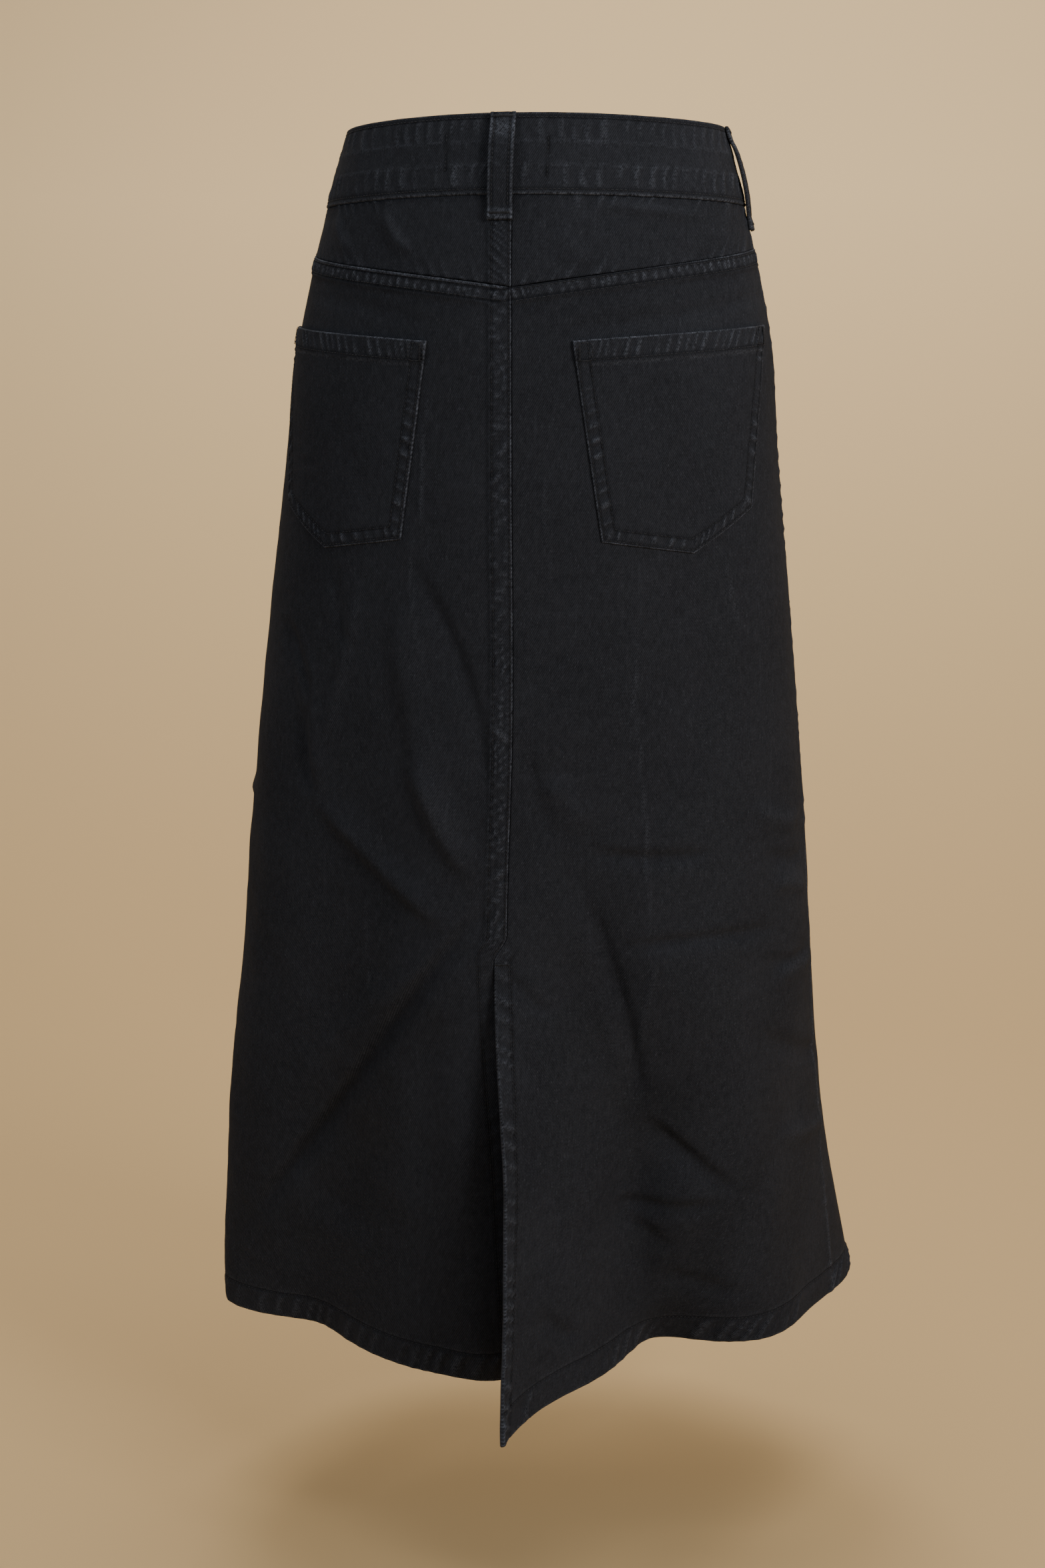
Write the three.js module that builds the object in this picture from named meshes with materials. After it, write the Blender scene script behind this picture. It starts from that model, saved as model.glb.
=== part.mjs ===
import * as THREE from 'three';

// An ankle-length denim skirt in its worn shape, open at the waist and the hem.
// Millimetres, +Z up, the wearer faces -Y, so the felled back seam is on the +Y side.
// The origin is the middle of the waist opening. Depth is measured down from the waist edge, and
// distance round the skirt from the centre back seam, positive towards the wearer's left (+X).

// The garment's own sizes
const LENGTH = 905;
const PLY = 1.4;
const DOUBLED = 3;
const GAP = 0.3;
const BAND_HEIGHT = 53;
const BAND_PROUD = 1.2;
const OVERLAP = 15;
const UNDERLAP = 35;
const YOKE_DEPTH_BACK = 118;
const YOKE_DEPTH_SIDE = 88;
const FELL_WIDTH = 11;
const FELL_RISE = 1;
const CENTRE_FELL_WIDTH = 15;
const CENTRE_FELL_LAP = 9;
const SLIT_TOP = 575;
const SLIT_FACING = 14;
const HEM_DEPTH = 23;
const STEP_WIDTH = 2;
const LOOP_WIDTH = 17;
const LOOP_PLY = 2.2;
const LOOP_PAST_SIDE = 6;
const SHIELD_LENGTH = 135;
const SHIELD_WIDTH = 44;
const BUTTON_DEPTH = 25;
const POCKET_HEM = 15;
const POCKET_HEM_RISE = 0.8;

// Builds rows of named values from a line of column names and the rows under it.
function table(columns, rows) {
  const names = columns.split(' ');
  return rows.map((row) => Object.fromEntries(names.map((name, i) => [name, row[i]])));
}

// Level sections of the worn skirt: each is an ellipse with its own reach to the back and the
// front, whose long axis turns a little further down, because one leg stands behind the other.
const SECTION_COLUMNS = 'depth halfWidth x y back front turn seamX';
const SECTIONS = table(SECTION_COLUMNS, [
  [0, 134, 0, 0, 95, 95, 0, 8],
  [55, 150, 0, 2, 107, 104, 0, 8],
  [150, 172, 1, 4, 121, 114, 0, 6],
  [230, 181, 3, 4, 127, 120, 0, 5],
  [400, 200, 5, 0, 134, 130, -5, 4],
  [575, 217, 5, -8, 142, 136, -11, 8],
  [740, 231, 11, -22, 150, 140, -15, 2],
  [905, 246, 13, -40, 160, 144, -18, 7],
]);

// Long folds: the direction in degrees from the back seam where each starts and where it meets
// the hem, its half-widths there in degrees, its height at the hem and the depth where it starts.
const FOLDS = table('at atHem width widthHem height start', [
  [26, 48, 16, 27, -54, 330],
  [84, 84, 12, 9, 8, 350],
  [-12, -32, 8, 11, -42, 400],
  [-40, -56, 10, 12, 9, 400],
  [-100, -102, 18, 20, 30, 600],
  [122, 118, 14, 14, -10, 350],
  [150, 150, 20, 20, 12, 350],
  [180, 180, 14, 14, -14, 350],
  [-150, -150, 20, 20, 10, 350],
  [-124, -132, 14, 14, -12, 350],
]);
const FOLD_GROWTH = 1.4;

// Below the slit's top the right edge swings out, and the left edge tucks in and slides behind
// it. Both hang a little lower at the corner. Widths and the slide are in degrees.
const SLIT_EDGES = {
  right: { height: 76, width: 8, drop: 10, dropWidth: 12 },
  left: { height: -14, width: 12, drop: 6, dropWidth: 20, slide: 4, slideWidth: 20 },
  growth: 1.15,
};

// The waist edge rises at the back and dips at the front, fading out further down.
const WAIST_RISE = { back: 3, backWidth: 50, front: -8, frontWidth: 45, fade: 250 };

// The patch pocket's five corners: distance from the back seam, and depth.
const POCKET = {
  topInner: { across: 50, depth: 147 },
  topOuter: { across: 207, depth: 135 },
  bottomInner: { across: 70, depth: 279 },
  point: { across: 136, depth: 288 },
  bottomOuter: { across: 188, depth: 259 },
};

// A belt loop from the side: how far its inner face stands off the yoke at each depth.
const LOOP_PROFILE = table('depth stand', [
  [0.5, 1.5],
  [8, 1.6],
  [16, 3.2],
  [27, 3.9],
  [38, 3.7],
  [48, 2.9],
  [55, 1.9],
  [62, 0.9],
  [70, 0.3],
]);

const BUTTON_PROFILE = table('radius height', [
  [0, 0],
  [6.5, 0],
  [8.5, 1],
  [8.5, 2.2],
  [7.6, 3],
  [5.8, 2.7],
  [0, 2.6],
]);

const DENIM = { color: 0x2b2d33, roughness: 0.92, metalness: 0 };
const METAL = { color: 0x6f6a62, roughness: 0.38, metalness: 1 };

const radians = THREE.MathUtils.degToRad;
const clamp01 = (x) => THREE.MathUtils.clamp(x, 0, 1);
const lerp = THREE.MathUtils.lerp;
const smooth = (x) => clamp01(x) ** 2 * (3 - 2 * clamp01(x));

// Slopes of one column at the table's rows, for a curve through them with no kinks.
function slopesOf(column) {
  const rises = SECTIONS.slice(1).map((row, i) => {
    const before = SECTIONS[i];
    return (row[column] - before[column]) / (row.depth - before.depth);
  });
  return SECTIONS.map((row, i) => {
    if (i === 0 || i === SECTIONS.length - 1) return rises[Math.min(i, rises.length - 1)];
    const above = row.depth - SECTIONS[i - 1].depth;
    const below = SECTIONS[i + 1].depth - row.depth;
    return (rises[i - 1] * below + rises[i] * above) / (above + below);
  });
}

const SLOPES = Object.fromEntries(SECTION_COLUMNS.split(' ').map((name) => [name, slopesOf(name)]));

// The section at any depth, by a cubic between the two nearest rows of the table.
function sectionAt(depth) {
  let i = 0;
  while (i < SECTIONS.length - 2 && depth > SECTIONS[i + 1].depth) i += 1;
  const [top, bottom] = [SECTIONS[i], SECTIONS[i + 1]];
  const height = bottom.depth - top.depth;
  const q = (depth - top.depth) / height;
  const value = (name) => (1 + 2 * q) * (1 - q) ** 2 * top[name]
    + q * (1 - q) ** 2 * height * SLOPES[name][i]
    + q * q * (3 - 2 * q) * bottom[name]
    + q * q * (q - 1) * height * SLOPES[name][i + 1];
  return Object.fromEntries(Object.keys(SLOPES).map((name) => [name, value(name)]));
}

// How far the slit has opened at a depth, from 0 at its top to 1 at the hem.
function slitOpening(depth) {
  return clamp01((depth - SLIT_TOP) / (LENGTH - SLIT_TOP)) ** SLIT_EDGES.growth;
}

// How far the cloth stands out from its plain section, `around` degrees from the back seam.
function foldHeight(depth, around) {
  let height = 0;
  for (const fold of FOLDS) {
    const down = clamp01((depth - fold.start) / (LENGTH - fold.start));
    const centre = (lerp(fold.at, fold.atHem, down) + 360) % 360;
    const width = lerp(fold.width, fold.widthHem, down);
    height += fold.height * down ** FOLD_GROWTH * Math.exp(-(((around - centre) / width) ** 2));
  }
  const { right, left } = SLIT_EDGES;
  const open = slitOpening(depth);
  height += open * right.height * Math.exp(-(360 - around) / right.width);
  height += open * left.height * Math.exp(-around / left.width);
  return height;
}

// One level ring of the outer face, as points with their distance from the back seam. `quarters`
// are the distances of the left side seam, the centre front, the right side seam and the end.
const RING_POINTS = 720;
function ringAt(depth) {
  const section = sectionAt(depth);
  const turn = radians(section.turn);
  const acrossWidth = section.halfWidth * Math.cos(turn);
  const acrossBack = section.back * Math.sin(turn);
  const start = Math.asin((section.seamX - section.x) / Math.hypot(acrossWidth, acrossBack))
    - Math.atan2(acrossBack, acrossWidth);
  const directionOf = (angle) => {
    const reach = Math.cos(angle) > 0 ? section.back : section.front;
    const base = new THREE.Vector2(section.halfWidth * Math.sin(angle), reach * Math.cos(angle));
    const out = new THREE.Vector2(Math.sin(angle) / section.halfWidth, Math.cos(angle) / reach);
    return { base, out: out.normalize() };
  };
  const { right, left } = SLIT_EDGES;
  const open = slitOpening(depth);
  const points = [];
  const plain = [];
  for (let i = 0; i <= RING_POINTS; i += 1) {
    const around = (360 * i) / RING_POINTS;
    const slide = left.slide * open ** 2 * Math.exp(-around / left.slideWidth);
    const { base, out } = directionOf(start + radians(around - slide));
    const place = base.addScaledVector(out, foldHeight(depth, around));
    place.rotateAround(new THREE.Vector2(), -turn);
    const fromBack = Math.min(around, 360 - around);
    const rise = WAIST_RISE.back * Math.exp(-((fromBack / WAIST_RISE.backWidth) ** 2))
      + WAIST_RISE.front * Math.exp(-(((around - 180) / WAIST_RISE.frontWidth) ** 2));
    const drop = open * (right.drop * Math.exp(-(360 - around) / right.dropWidth)
      + left.drop * Math.exp(-around / left.dropWidth));
    const z = -depth + rise * clamp01(1 - depth / WAIST_RISE.fade) - drop;
    points.push(new THREE.Vector3(section.x + place.x, section.y + place.y, z));
    plain.push(directionOf(start + radians(around)).base);
  }
  const lengths = [0];
  const plainLengths = [0];
  for (let i = 1; i <= RING_POINTS; i += 1) {
    const step = Math.hypot(points[i].x - points[i - 1].x, points[i].y - points[i - 1].y);
    lengths.push(lengths[i - 1] + step);
    plainLengths.push(plainLengths[i - 1] + plain[i].distanceTo(plain[i - 1]));
  }
  const quarters = [0.25, 0.5, 0.75, 1].map((part) => {
    const target = part * plainLengths[RING_POINTS];
    const i = plainLengths.findIndex((length) => length >= target);
    const q = (target - plainLengths[i - 1]) / (plainLengths[i] - plainLengths[i - 1]);
    return lerp(lengths[i - 1], lengths[i], q);
  });
  return { points, lengths, quarters };
}

const RING_SPACING = 2.5;
const RINGS = Array.from({ length: LENGTH / RING_SPACING + 1 }, (_, i) => ringAt(i * RING_SPACING));

// The rings just above and below a depth, and how far it lies between them.
function ringsBeside(depth) {
  const place = THREE.MathUtils.clamp(depth / RING_SPACING, 0, RINGS.length - 1);
  const i = Math.min(Math.floor(place), RINGS.length - 2);
  return [RINGS[i], RINGS[i + 1], place - i];
}

// Distance along the ring of seam number `index` in `quarters`, at any depth.
function seamAt(depth, index) {
  const [above, below, q] = ringsBeside(depth);
  return lerp(above.quarters[index], below.quarters[index], q);
}

const leftSide = (depth) => seamAt(depth, 0);
const front = (depth) => seamAt(depth, 1);
const rightSide = (depth) => seamAt(depth, 2) - seamAt(depth, 3);
const frontFromRight = (depth) => seamAt(depth, 1) - seamAt(depth, 3);

function pointOnRing(ring, across) {
  const { points, lengths } = ring;
  const total = lengths[RING_POINTS];
  const length = across < 0 ? across + total : across;
  let low = 0;
  let high = RING_POINTS;
  while (high - low > 1) {
    const middle = (low + high) >> 1;
    if (lengths[middle] <= length) low = middle;
    else high = middle;
  }
  const q = (length - lengths[low]) / (lengths[high] - lengths[low]);
  return points[low].clone().lerp(points[high], q);
}

// A point of the skirt's outer face.
function faceAt(depth, across) {
  const [above, below, q] = ringsBeside(depth);
  return pointOnRing(above, across).lerp(pointOnRing(below, across), q);
}

// A point `out` millimetres beyond the outer face, along the cloth's normal.
const NORMAL_STEP = 3;
function cloth(depth, across, out) {
  const here = faceAt(depth, across);
  const towardsBack = Math.abs(across) > NORMAL_STEP * 2 ? -Math.sign(across) : Math.sign(across) || 1;
  const beside = faceAt(depth, across + towardsBack * NORMAL_STEP);
  const along = beside.sub(here).multiplyScalar(towardsBack);
  const top = Math.max(depth - NORMAL_STEP, 0);
  const bottom = Math.min(depth + NORMAL_STEP, LENGTH);
  const down = faceAt(bottom, across).sub(faceAt(top, across));
  return here.addScaledVector(along.cross(down).normalize(), out);
}

// A wall of cloth between two grids of points, outer and inner, closed round its four edges.
function wall(rows, columns, outer, inner) {
  const positions = [];
  for (const face of [outer, inner]) {
    for (let r = 0; r < rows; r += 1) {
      for (let c = 0; c < columns; c += 1) positions.push(...face(r, c).toArray());
    }
  }
  const at = (face, r, c) => face * rows * columns + r * columns + c;
  const index = [];
  const quad = (a, b, c, d) => index.push(a, b, c, a, c, d);
  for (let r = 0; r < rows - 1; r += 1) {
    for (let c = 0; c < columns - 1; c += 1) {
      quad(at(0, r, c), at(0, r, c + 1), at(0, r + 1, c + 1), at(0, r + 1, c));
      quad(at(1, r, c), at(1, r + 1, c), at(1, r + 1, c + 1), at(1, r, c + 1));
    }
  }
  for (let c = 0; c < columns - 1; c += 1) {
    quad(at(0, 0, c), at(1, 0, c), at(1, 0, c + 1), at(0, 0, c + 1));
    quad(at(0, rows - 1, c), at(0, rows - 1, c + 1), at(1, rows - 1, c + 1), at(1, rows - 1, c));
  }
  for (let r = 0; r < rows - 1; r += 1) {
    quad(at(0, r, 0), at(0, r + 1, 0), at(1, r + 1, 0), at(1, r, 0));
    const end = columns - 1;
    quad(at(0, r, end), at(1, r, end), at(1, r + 1, end), at(0, r + 1, end));
  }
  const geometry = new THREE.BufferGeometry();
  geometry.setAttribute('position', new THREE.Float32BufferAttribute(positions, 3));
  geometry.setIndex(index);
  geometry.computeVertexNormals();
  return geometry;
}

const skirt = new THREE.Group();

function add(name, geometry, finish) {
  const mesh = new THREE.Mesh(geometry, new THREE.MeshStandardMaterial(finish));
  mesh.name = name;
  skirt.add(mesh);
  return mesh;
}

// Steps from one value to another, both included.
function spread(from, to, steps) {
  return Array.from({ length: steps + 1 }, (_, i) => lerp(from, to, i / steps));
}

// The yoke seam runs from its lowest point at the back seam up to the side seams.
function yokeSeam(part) {
  return lerp(YOKE_DEPTH_BACK, YOKE_DEPTH_SIDE, part);
}

// The back seam's folded edge lies to the right of the middle, and meets it at the slit.
const SEAM_SWING_START = 555;
function backSeam(depth) {
  const swing = smooth((depth - SEAM_SWING_START) / (SLIT_TOP - SEAM_SWING_START));
  return lerp(-CENTRE_FELL_LAP, 0, swing);
}

// The felled back seam is raised on the left panel, down to the slit.
const SEAM_FADE = 20;
function backSeamRise(depth) {
  return FELL_RISE * smooth((SLIT_TOP - depth) / SEAM_FADE);
}

// Waistband: one doubled strip from its lapped end at the front, round the back, to the end that
// passes under it at the front.
const BAND_STEPS = 50;
const BAND_ROWS = [0, 0.3, 0.7, 1];
const BAND_TUCK_LENGTH = 28;
function waistband() {
  const place = (r, c, out) => {
    const depth = BAND_HEIGHT * BAND_ROWS[r];
    const middle = front(depth);
    const across = lerp(frontFromRight(depth) - OVERLAP, middle + UNDERLAP, c / BAND_STEPS);
    const tuckEnd = middle - OVERLAP - STEP_WIDTH;
    const tuck = smooth((across - tuckEnd) / BAND_TUCK_LENGTH + 1) * (DOUBLED + GAP);
    return cloth(depth, across, out - tuck);
  };
  const outer = (r, c) => place(r, c, BAND_PROUD);
  const inner = (r, c) => place(r, c, BAND_PROUD - DOUBLED);
  return wall(BAND_ROWS.length, BAND_STEPS + 1, outer, inner);
}
add('waistband', waistband(), DENIM);

// Back yoke: the left one laps over the right at the back seam.
const YOKE_STEPS = 11;
const YOKE_ROWS = 4;
function yoke(side) {
  const lapped = side > 0 ? [CENTRE_FELL_WIDTH, CENTRE_FELL_WIDTH + STEP_WIDTH] : [];
  const columns = 1 + lapped.length + YOKE_STEPS;
  const acrossAt = (depth, c) => {
    const edge = backSeam(depth) - (side > 0 ? 0 : GAP);
    if (c === 0) return edge;
    if (c <= lapped.length) return edge + lapped[c - 1];
    const from = edge + (lapped.at(-1) ?? 0);
    const to = (side > 0 ? leftSide(depth) : rightSide(depth)) - (side * GAP) / 2;
    return lerp(from, to, (c - lapped.length) / YOKE_STEPS);
  };
  const place = (r, c, out) => {
    const guess = acrossAt(YOKE_DEPTH_BACK, c) / acrossAt(YOKE_DEPTH_BACK, columns - 1);
    const bottom = yokeSeam(Math.abs(guess)) - FELL_WIDTH / 2 - GAP;
    const depth = lerp(BAND_HEIGHT + GAP, bottom, r / (YOKE_ROWS - 1));
    return cloth(depth, acrossAt(depth, c), out);
  };
  const rise = (c) => (lapped.length && c < lapped.length ? FELL_RISE : 0);
  const outer = (r, c) => place(r, c, rise(c));
  const inner = (r, c) => place(r, c, -PLY);
  return facing(side, YOKE_ROWS, columns, outer, inner);
}

// A wall whose columns run from the back seam to one side; those of the right run the other way.
function facing(side, rows, columns, outer, inner) {
  if (side > 0) return wall(rows, columns, outer, inner);
  const turned = (face) => (r, c) => face(r, columns - 1 - c);
  return wall(rows, columns, turned(outer), turned(inner));
}
add('back_yoke_left', yoke(1), DENIM);
add('back_yoke_right', yoke(-1), DENIM);

// Back panel: its top edge is folded over the yoke, its hem and slit edge are turned in.
const PANEL_STEPS_DOWN = 25;
const PANEL_STEPS_ACROSS = 14;
function backPanel(side) {
  const edgeWidths = side > 0 ? [CENTRE_FELL_WIDTH, CENTRE_FELL_WIDTH + STEP_WIDTH]
    : [SLIT_FACING, SLIT_FACING + STEP_WIDTH];
  const columns = 3 + PANEL_STEPS_ACROSS;
  const acrossAt = (depth, c) => {
    const edge = backSeam(depth) - (side > 0 ? 0 : GAP);
    if (c === 0) return edge;
    if (c <= 2) return edge + side * edgeWidths[c - 1];
    const to = (side > 0 ? leftSide(depth) : rightSide(depth)) - (side * GAP) / 2;
    return lerp(edge + side * edgeWidths[1], to, (c - 2) / PANEL_STEPS_ACROSS);
  };
  const hemTop = LENGTH - HEM_DEPTH - STEP_WIDTH;
  const depthsFrom = (top) => [
    top,
    ...spread(top + FELL_WIDTH, top + FELL_WIDTH + STEP_WIDTH, 1),
    ...spread(top + FELL_WIDTH + STEP_WIDTH, hemTop, PANEL_STEPS_DOWN).slice(1),
    LENGTH - HEM_DEPTH,
    LENGTH,
  ];
  const part = (c) => Math.abs(acrossAt(YOKE_DEPTH_BACK, c) / acrossAt(YOKE_DEPTH_BACK, columns - 1));
  const depths = Array.from({ length: columns }, (_, c) => (
    depthsFrom(yokeSeam(part(c)) - FELL_WIDTH / 2)));
  const rows = depths[0].length;
  const outer = (r, c) => {
    const depth = depths[c][r];
    const overYoke = r < 2 ? FELL_RISE : 0;
    const overSeam = side > 0 && c < 2 ? backSeamRise(depth) : 0;
    return cloth(depth, acrossAt(depth, c), Math.max(overYoke, overSeam));
  };
  const inner = (r, c) => {
    const depth = depths[c][r];
    const turnedIn = r >= rows - 2 || (c < 2 && depth > SLIT_TOP + STEP_WIDTH);
    return cloth(depth, acrossAt(depth, c), turnedIn ? -DOUBLED : -PLY);
  };
  return facing(side, rows, columns, outer, inner);
}
add('back_panel_left', backPanel(1), DENIM);
add('back_panel_right', backPanel(-1), DENIM);

// Front panel: from the side seam to the centre front seam, with its hem turned in.
const FRONT_STEPS_DOWN = 22;
const FRONT_STEPS_ACROSS = 13;
function frontPanel(side) {
  const depths = [
    ...spread(BAND_HEIGHT + GAP, LENGTH - HEM_DEPTH - STEP_WIDTH, FRONT_STEPS_DOWN),
    LENGTH - HEM_DEPTH,
    LENGTH,
  ];
  const acrossAt = (depth, c) => {
    const from = (side > 0 ? leftSide(depth) : rightSide(depth)) + (side * GAP) / 2;
    const to = (side > 0 ? front(depth) : frontFromRight(depth)) - (side * GAP) / 2;
    return lerp(from, to, c / FRONT_STEPS_ACROSS);
  };
  const outer = (r, c) => cloth(depths[r], acrossAt(depths[r], c), 0);
  const inner = (r, c) => {
    const thick = r >= depths.length - 2 ? DOUBLED : PLY;
    return cloth(depths[r], acrossAt(depths[r], c), -thick);
  };
  return facing(side, depths.length, FRONT_STEPS_ACROSS + 1, outer, inner);
}
add('front_panel_left', frontPanel(1), DENIM);
add('front_panel_right', frontPanel(-1), DENIM);

// Fly shield: a flat strip behind the opening, under both front panels.
const SHIELD_ROWS = 7;
const SHIELD_COLUMNS = 5;
function flyShield() {
  const place = (r, c, out) => {
    const top = BAND_HEIGHT + GAP;
    const depth = lerp(top, top + SHIELD_LENGTH, r / (SHIELD_ROWS - 1));
    const across = front(depth) + lerp(-SHIELD_WIDTH / 2, SHIELD_WIDTH / 2, c / (SHIELD_COLUMNS - 1));
    return cloth(depth, across, out);
  };
  const outer = (r, c) => place(r, c, -PLY - GAP);
  const inner = (r, c) => place(r, c, -2 * PLY - GAP);
  return wall(SHIELD_ROWS, SHIELD_COLUMNS, outer, inner);
}
add('fly_shield', flyShield(), DENIM);

// Patch pocket: it lies on the back panel, with a doubled hem along its top edge.
const POCKET_STEPS_ACROSS = 12;
const POCKET_STEPS_DOWN = 10;
function pocket(side) {
  const corner = (name) => new THREE.Vector2(POCKET[name].across, POCKET[name].depth);
  const inside = [corner('topInner'), corner('bottomInner')];
  const outside = [corner('topOuter'), corner('bottomOuter')];
  const pointPart = (POCKET.point.across - POCKET.bottomInner.across)
    / (POCKET.bottomOuter.across - POCKET.bottomInner.across);
  const bottomAt = (part) => (part < pointPart
    ? inside[1].clone().lerp(corner('point'), part / pointPart)
    : corner('point').lerp(outside[1], (part - pointPart) / (1 - pointPart)));
  const hemPart = POCKET_HEM / (POCKET.bottomInner.depth - POCKET.topInner.depth);
  const stepPart = STEP_WIDTH / (POCKET.bottomInner.depth - POCKET.topInner.depth);
  const downs = [0, hemPart, ...spread(hemPart + stepPart, 1, POCKET_STEPS_DOWN)];
  const parts = spread(0, pointPart, POCKET_STEPS_ACROSS / 2)
    .concat(spread(pointPart, 1, POCKET_STEPS_ACROSS / 2).slice(1));
  const place = (r, c, out) => {
    const top = inside[0].clone().lerp(outside[0], parts[c]);
    const flat = top.lerp(bottomAt(parts[c]), downs[r]);
    return cloth(flat.y, side * flat.x, out);
  };
  const outer = (r, c) => place(r, c, GAP + PLY + (r < 2 ? POCKET_HEM_RISE : 0));
  const inner = (r, c) => place(r, c, GAP);
  return facing(side, downs.length, parts.length, outer, inner);
}
add('back_pocket_left', pocket(1), DENIM);
add('back_pocket_right', pocket(-1), DENIM);

// Belt loop: a folded strip caught at the waist edge and below the waistband, and clear of the
// waistband between. `seat` is how high the cloth under its lower end is raised.
const LOOP_COLUMNS = 5;
function beltLoop(across, seat) {
  const place = (r, c, thickness) => {
    const { depth, stand } = LOOP_PROFILE[r];
    const raised = lerp(0, seat, clamp01(depth / BAND_HEIGHT));
    const aside = LOOP_WIDTH * (c / (LOOP_COLUMNS - 1) - 0.5);
    return cloth(depth, across(depth) + aside, stand + raised + thickness);
  };
  const outer = (r, c) => place(r, c, LOOP_PLY);
  const inner = (r, c) => place(r, c, 0);
  return wall(LOOP_PROFILE.length, LOOP_COLUMNS, outer, inner);
}
add('belt_loop_back', beltLoop(() => (CENTRE_FELL_WIDTH / 2 - CENTRE_FELL_LAP), FELL_RISE), DENIM);
add('belt_loop_left', beltLoop((depth) => leftSide(depth) + LOOP_PAST_SIDE, 0), DENIM);
add('belt_loop_right', beltLoop((depth) => rightSide(depth) - LOOP_PAST_SIDE, 0), DENIM);

// Waistband button: a dished metal cap over both ends of the waistband at the centre front.
const BUTTON_SEGMENTS = 24;
function button() {
  const profile = BUTTON_PROFILE.map(({ radius, height }) => new THREE.Vector2(radius, height));
  const geometry = new THREE.LatheGeometry(profile, BUTTON_SEGMENTS);
  const across = front(BUTTON_DEPTH);
  const seat = cloth(BUTTON_DEPTH, across, BAND_PROUD + GAP);
  const out = cloth(BUTTON_DEPTH, across, BAND_PROUD + GAP + 1).sub(seat).normalize();
  geometry.applyQuaternion(new THREE.Quaternion().setFromUnitVectors(new THREE.Vector3(0, 1, 0), out));
  geometry.translate(seat.x, seat.y, seat.z);
  return geometry;
}
add('waistband_button', button(), METAL);

export default skirt;
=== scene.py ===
from functools import reduce

import bpy
import numpy as np
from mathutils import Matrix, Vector


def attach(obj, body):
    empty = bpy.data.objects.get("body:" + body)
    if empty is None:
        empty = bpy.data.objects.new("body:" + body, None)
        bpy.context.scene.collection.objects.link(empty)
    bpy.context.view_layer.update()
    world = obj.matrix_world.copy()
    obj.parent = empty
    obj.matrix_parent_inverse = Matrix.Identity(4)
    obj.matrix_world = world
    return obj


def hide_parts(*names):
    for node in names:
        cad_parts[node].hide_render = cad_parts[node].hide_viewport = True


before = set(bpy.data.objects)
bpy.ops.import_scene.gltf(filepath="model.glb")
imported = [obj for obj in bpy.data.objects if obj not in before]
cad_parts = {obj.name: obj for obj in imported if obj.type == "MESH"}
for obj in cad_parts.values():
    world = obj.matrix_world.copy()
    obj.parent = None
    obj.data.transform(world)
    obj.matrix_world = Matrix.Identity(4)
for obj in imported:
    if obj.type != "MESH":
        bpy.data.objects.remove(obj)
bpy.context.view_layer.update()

# Studio
# A pale painted floor that sweeps up into a wall, lit by five soft square lamps: a key and a fill
# behind, a faint low one between them, one for the front and one for the wall. The camera stands
# behind the wearer, a little to their right, and looks slightly down.
FLOOR_DEPTH = 1.075
FLOOR_REACH = 9.0
SWEEP_START = -1.2
SWEEP_RADIUS = 2.5
SWEEP_HALF_WIDTH = 9.0
WALL_HEIGHT = 6.0
camera_azimuth = np.radians(-9.0)
camera_pitch = np.radians(12.21)
camera_distance = 1.5
camera_height = -0.15
camera_aside = 0.009
backwards = np.array([np.sin(camera_azimuth), np.cos(camera_azimuth), 0.0])
rightwards = np.array([-np.cos(camera_azimuth), np.sin(camera_azimuth), 0.0])

lens = bpy.data.cameras.new("camera")
lens.sensor_fit = "VERTICAL"
lens.sensor_height = 36.0
lens.lens = 46.33
camera = bpy.data.objects.new("camera", lens)
camera.location = backwards * camera_distance - rightwards * camera_aside + (0, 0, camera_height)
aim = -backwards * np.cos(camera_pitch) + (0, 0, -np.sin(camera_pitch))
camera.rotation_euler = Vector(aim).to_track_quat("-Z", "Y").to_euler()
bpy.context.collection.objects.link(camera)
bpy.context.scene.camera = camera


def soft_light(name, place, size, power, colour, towards=(0, 0, -0.45)):
    """A square lamp at a place, turned to the skirt's middle or to another point."""
    lamp = bpy.data.lights.new(name, "AREA")
    lamp.size = size
    lamp.energy = power
    lamp.color = colour
    holder = bpy.data.objects.new(name, lamp)
    holder.location = place
    holder.rotation_euler = (Vector(towards) - Vector(place)).to_track_quat("-Z", "Y").to_euler()
    holder.visible_camera = False
    bpy.context.collection.objects.link(holder)


soft_light("key_light", (-2.3, 1.7, 0.62), 1.1, 70, (1.0, 0.99, 0.98))
soft_light("fill_light", (2.2, 1.8, 0.2), 1.8, 21.5, (0.85, 0.92, 1.0))
soft_light("low_light", (0.5, 2.0, -0.95), 1.2, 3.5, (0.50, 0.74, 1.0), (0, 0, -0.75))
soft_light("front_light", (0.8, -2.0, 2.3), 1.4, 34, (1.0, 0.98, 0.96))
soft_light("wall_light", (0.0, -0.8, 3.4), 3.4, 190, (1.0, 0.97, 0.93), (0, -3.4, -0.2))

surround = bpy.data.worlds.new("surround")
surround.use_nodes = True
surround.node_tree.nodes["Background"].inputs["Color"].default_value = (0.50, 0.54, 0.60, 1)
surround.node_tree.nodes["Background"].inputs["Strength"].default_value = 0.36
bpy.context.scene.world = surround


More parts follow.
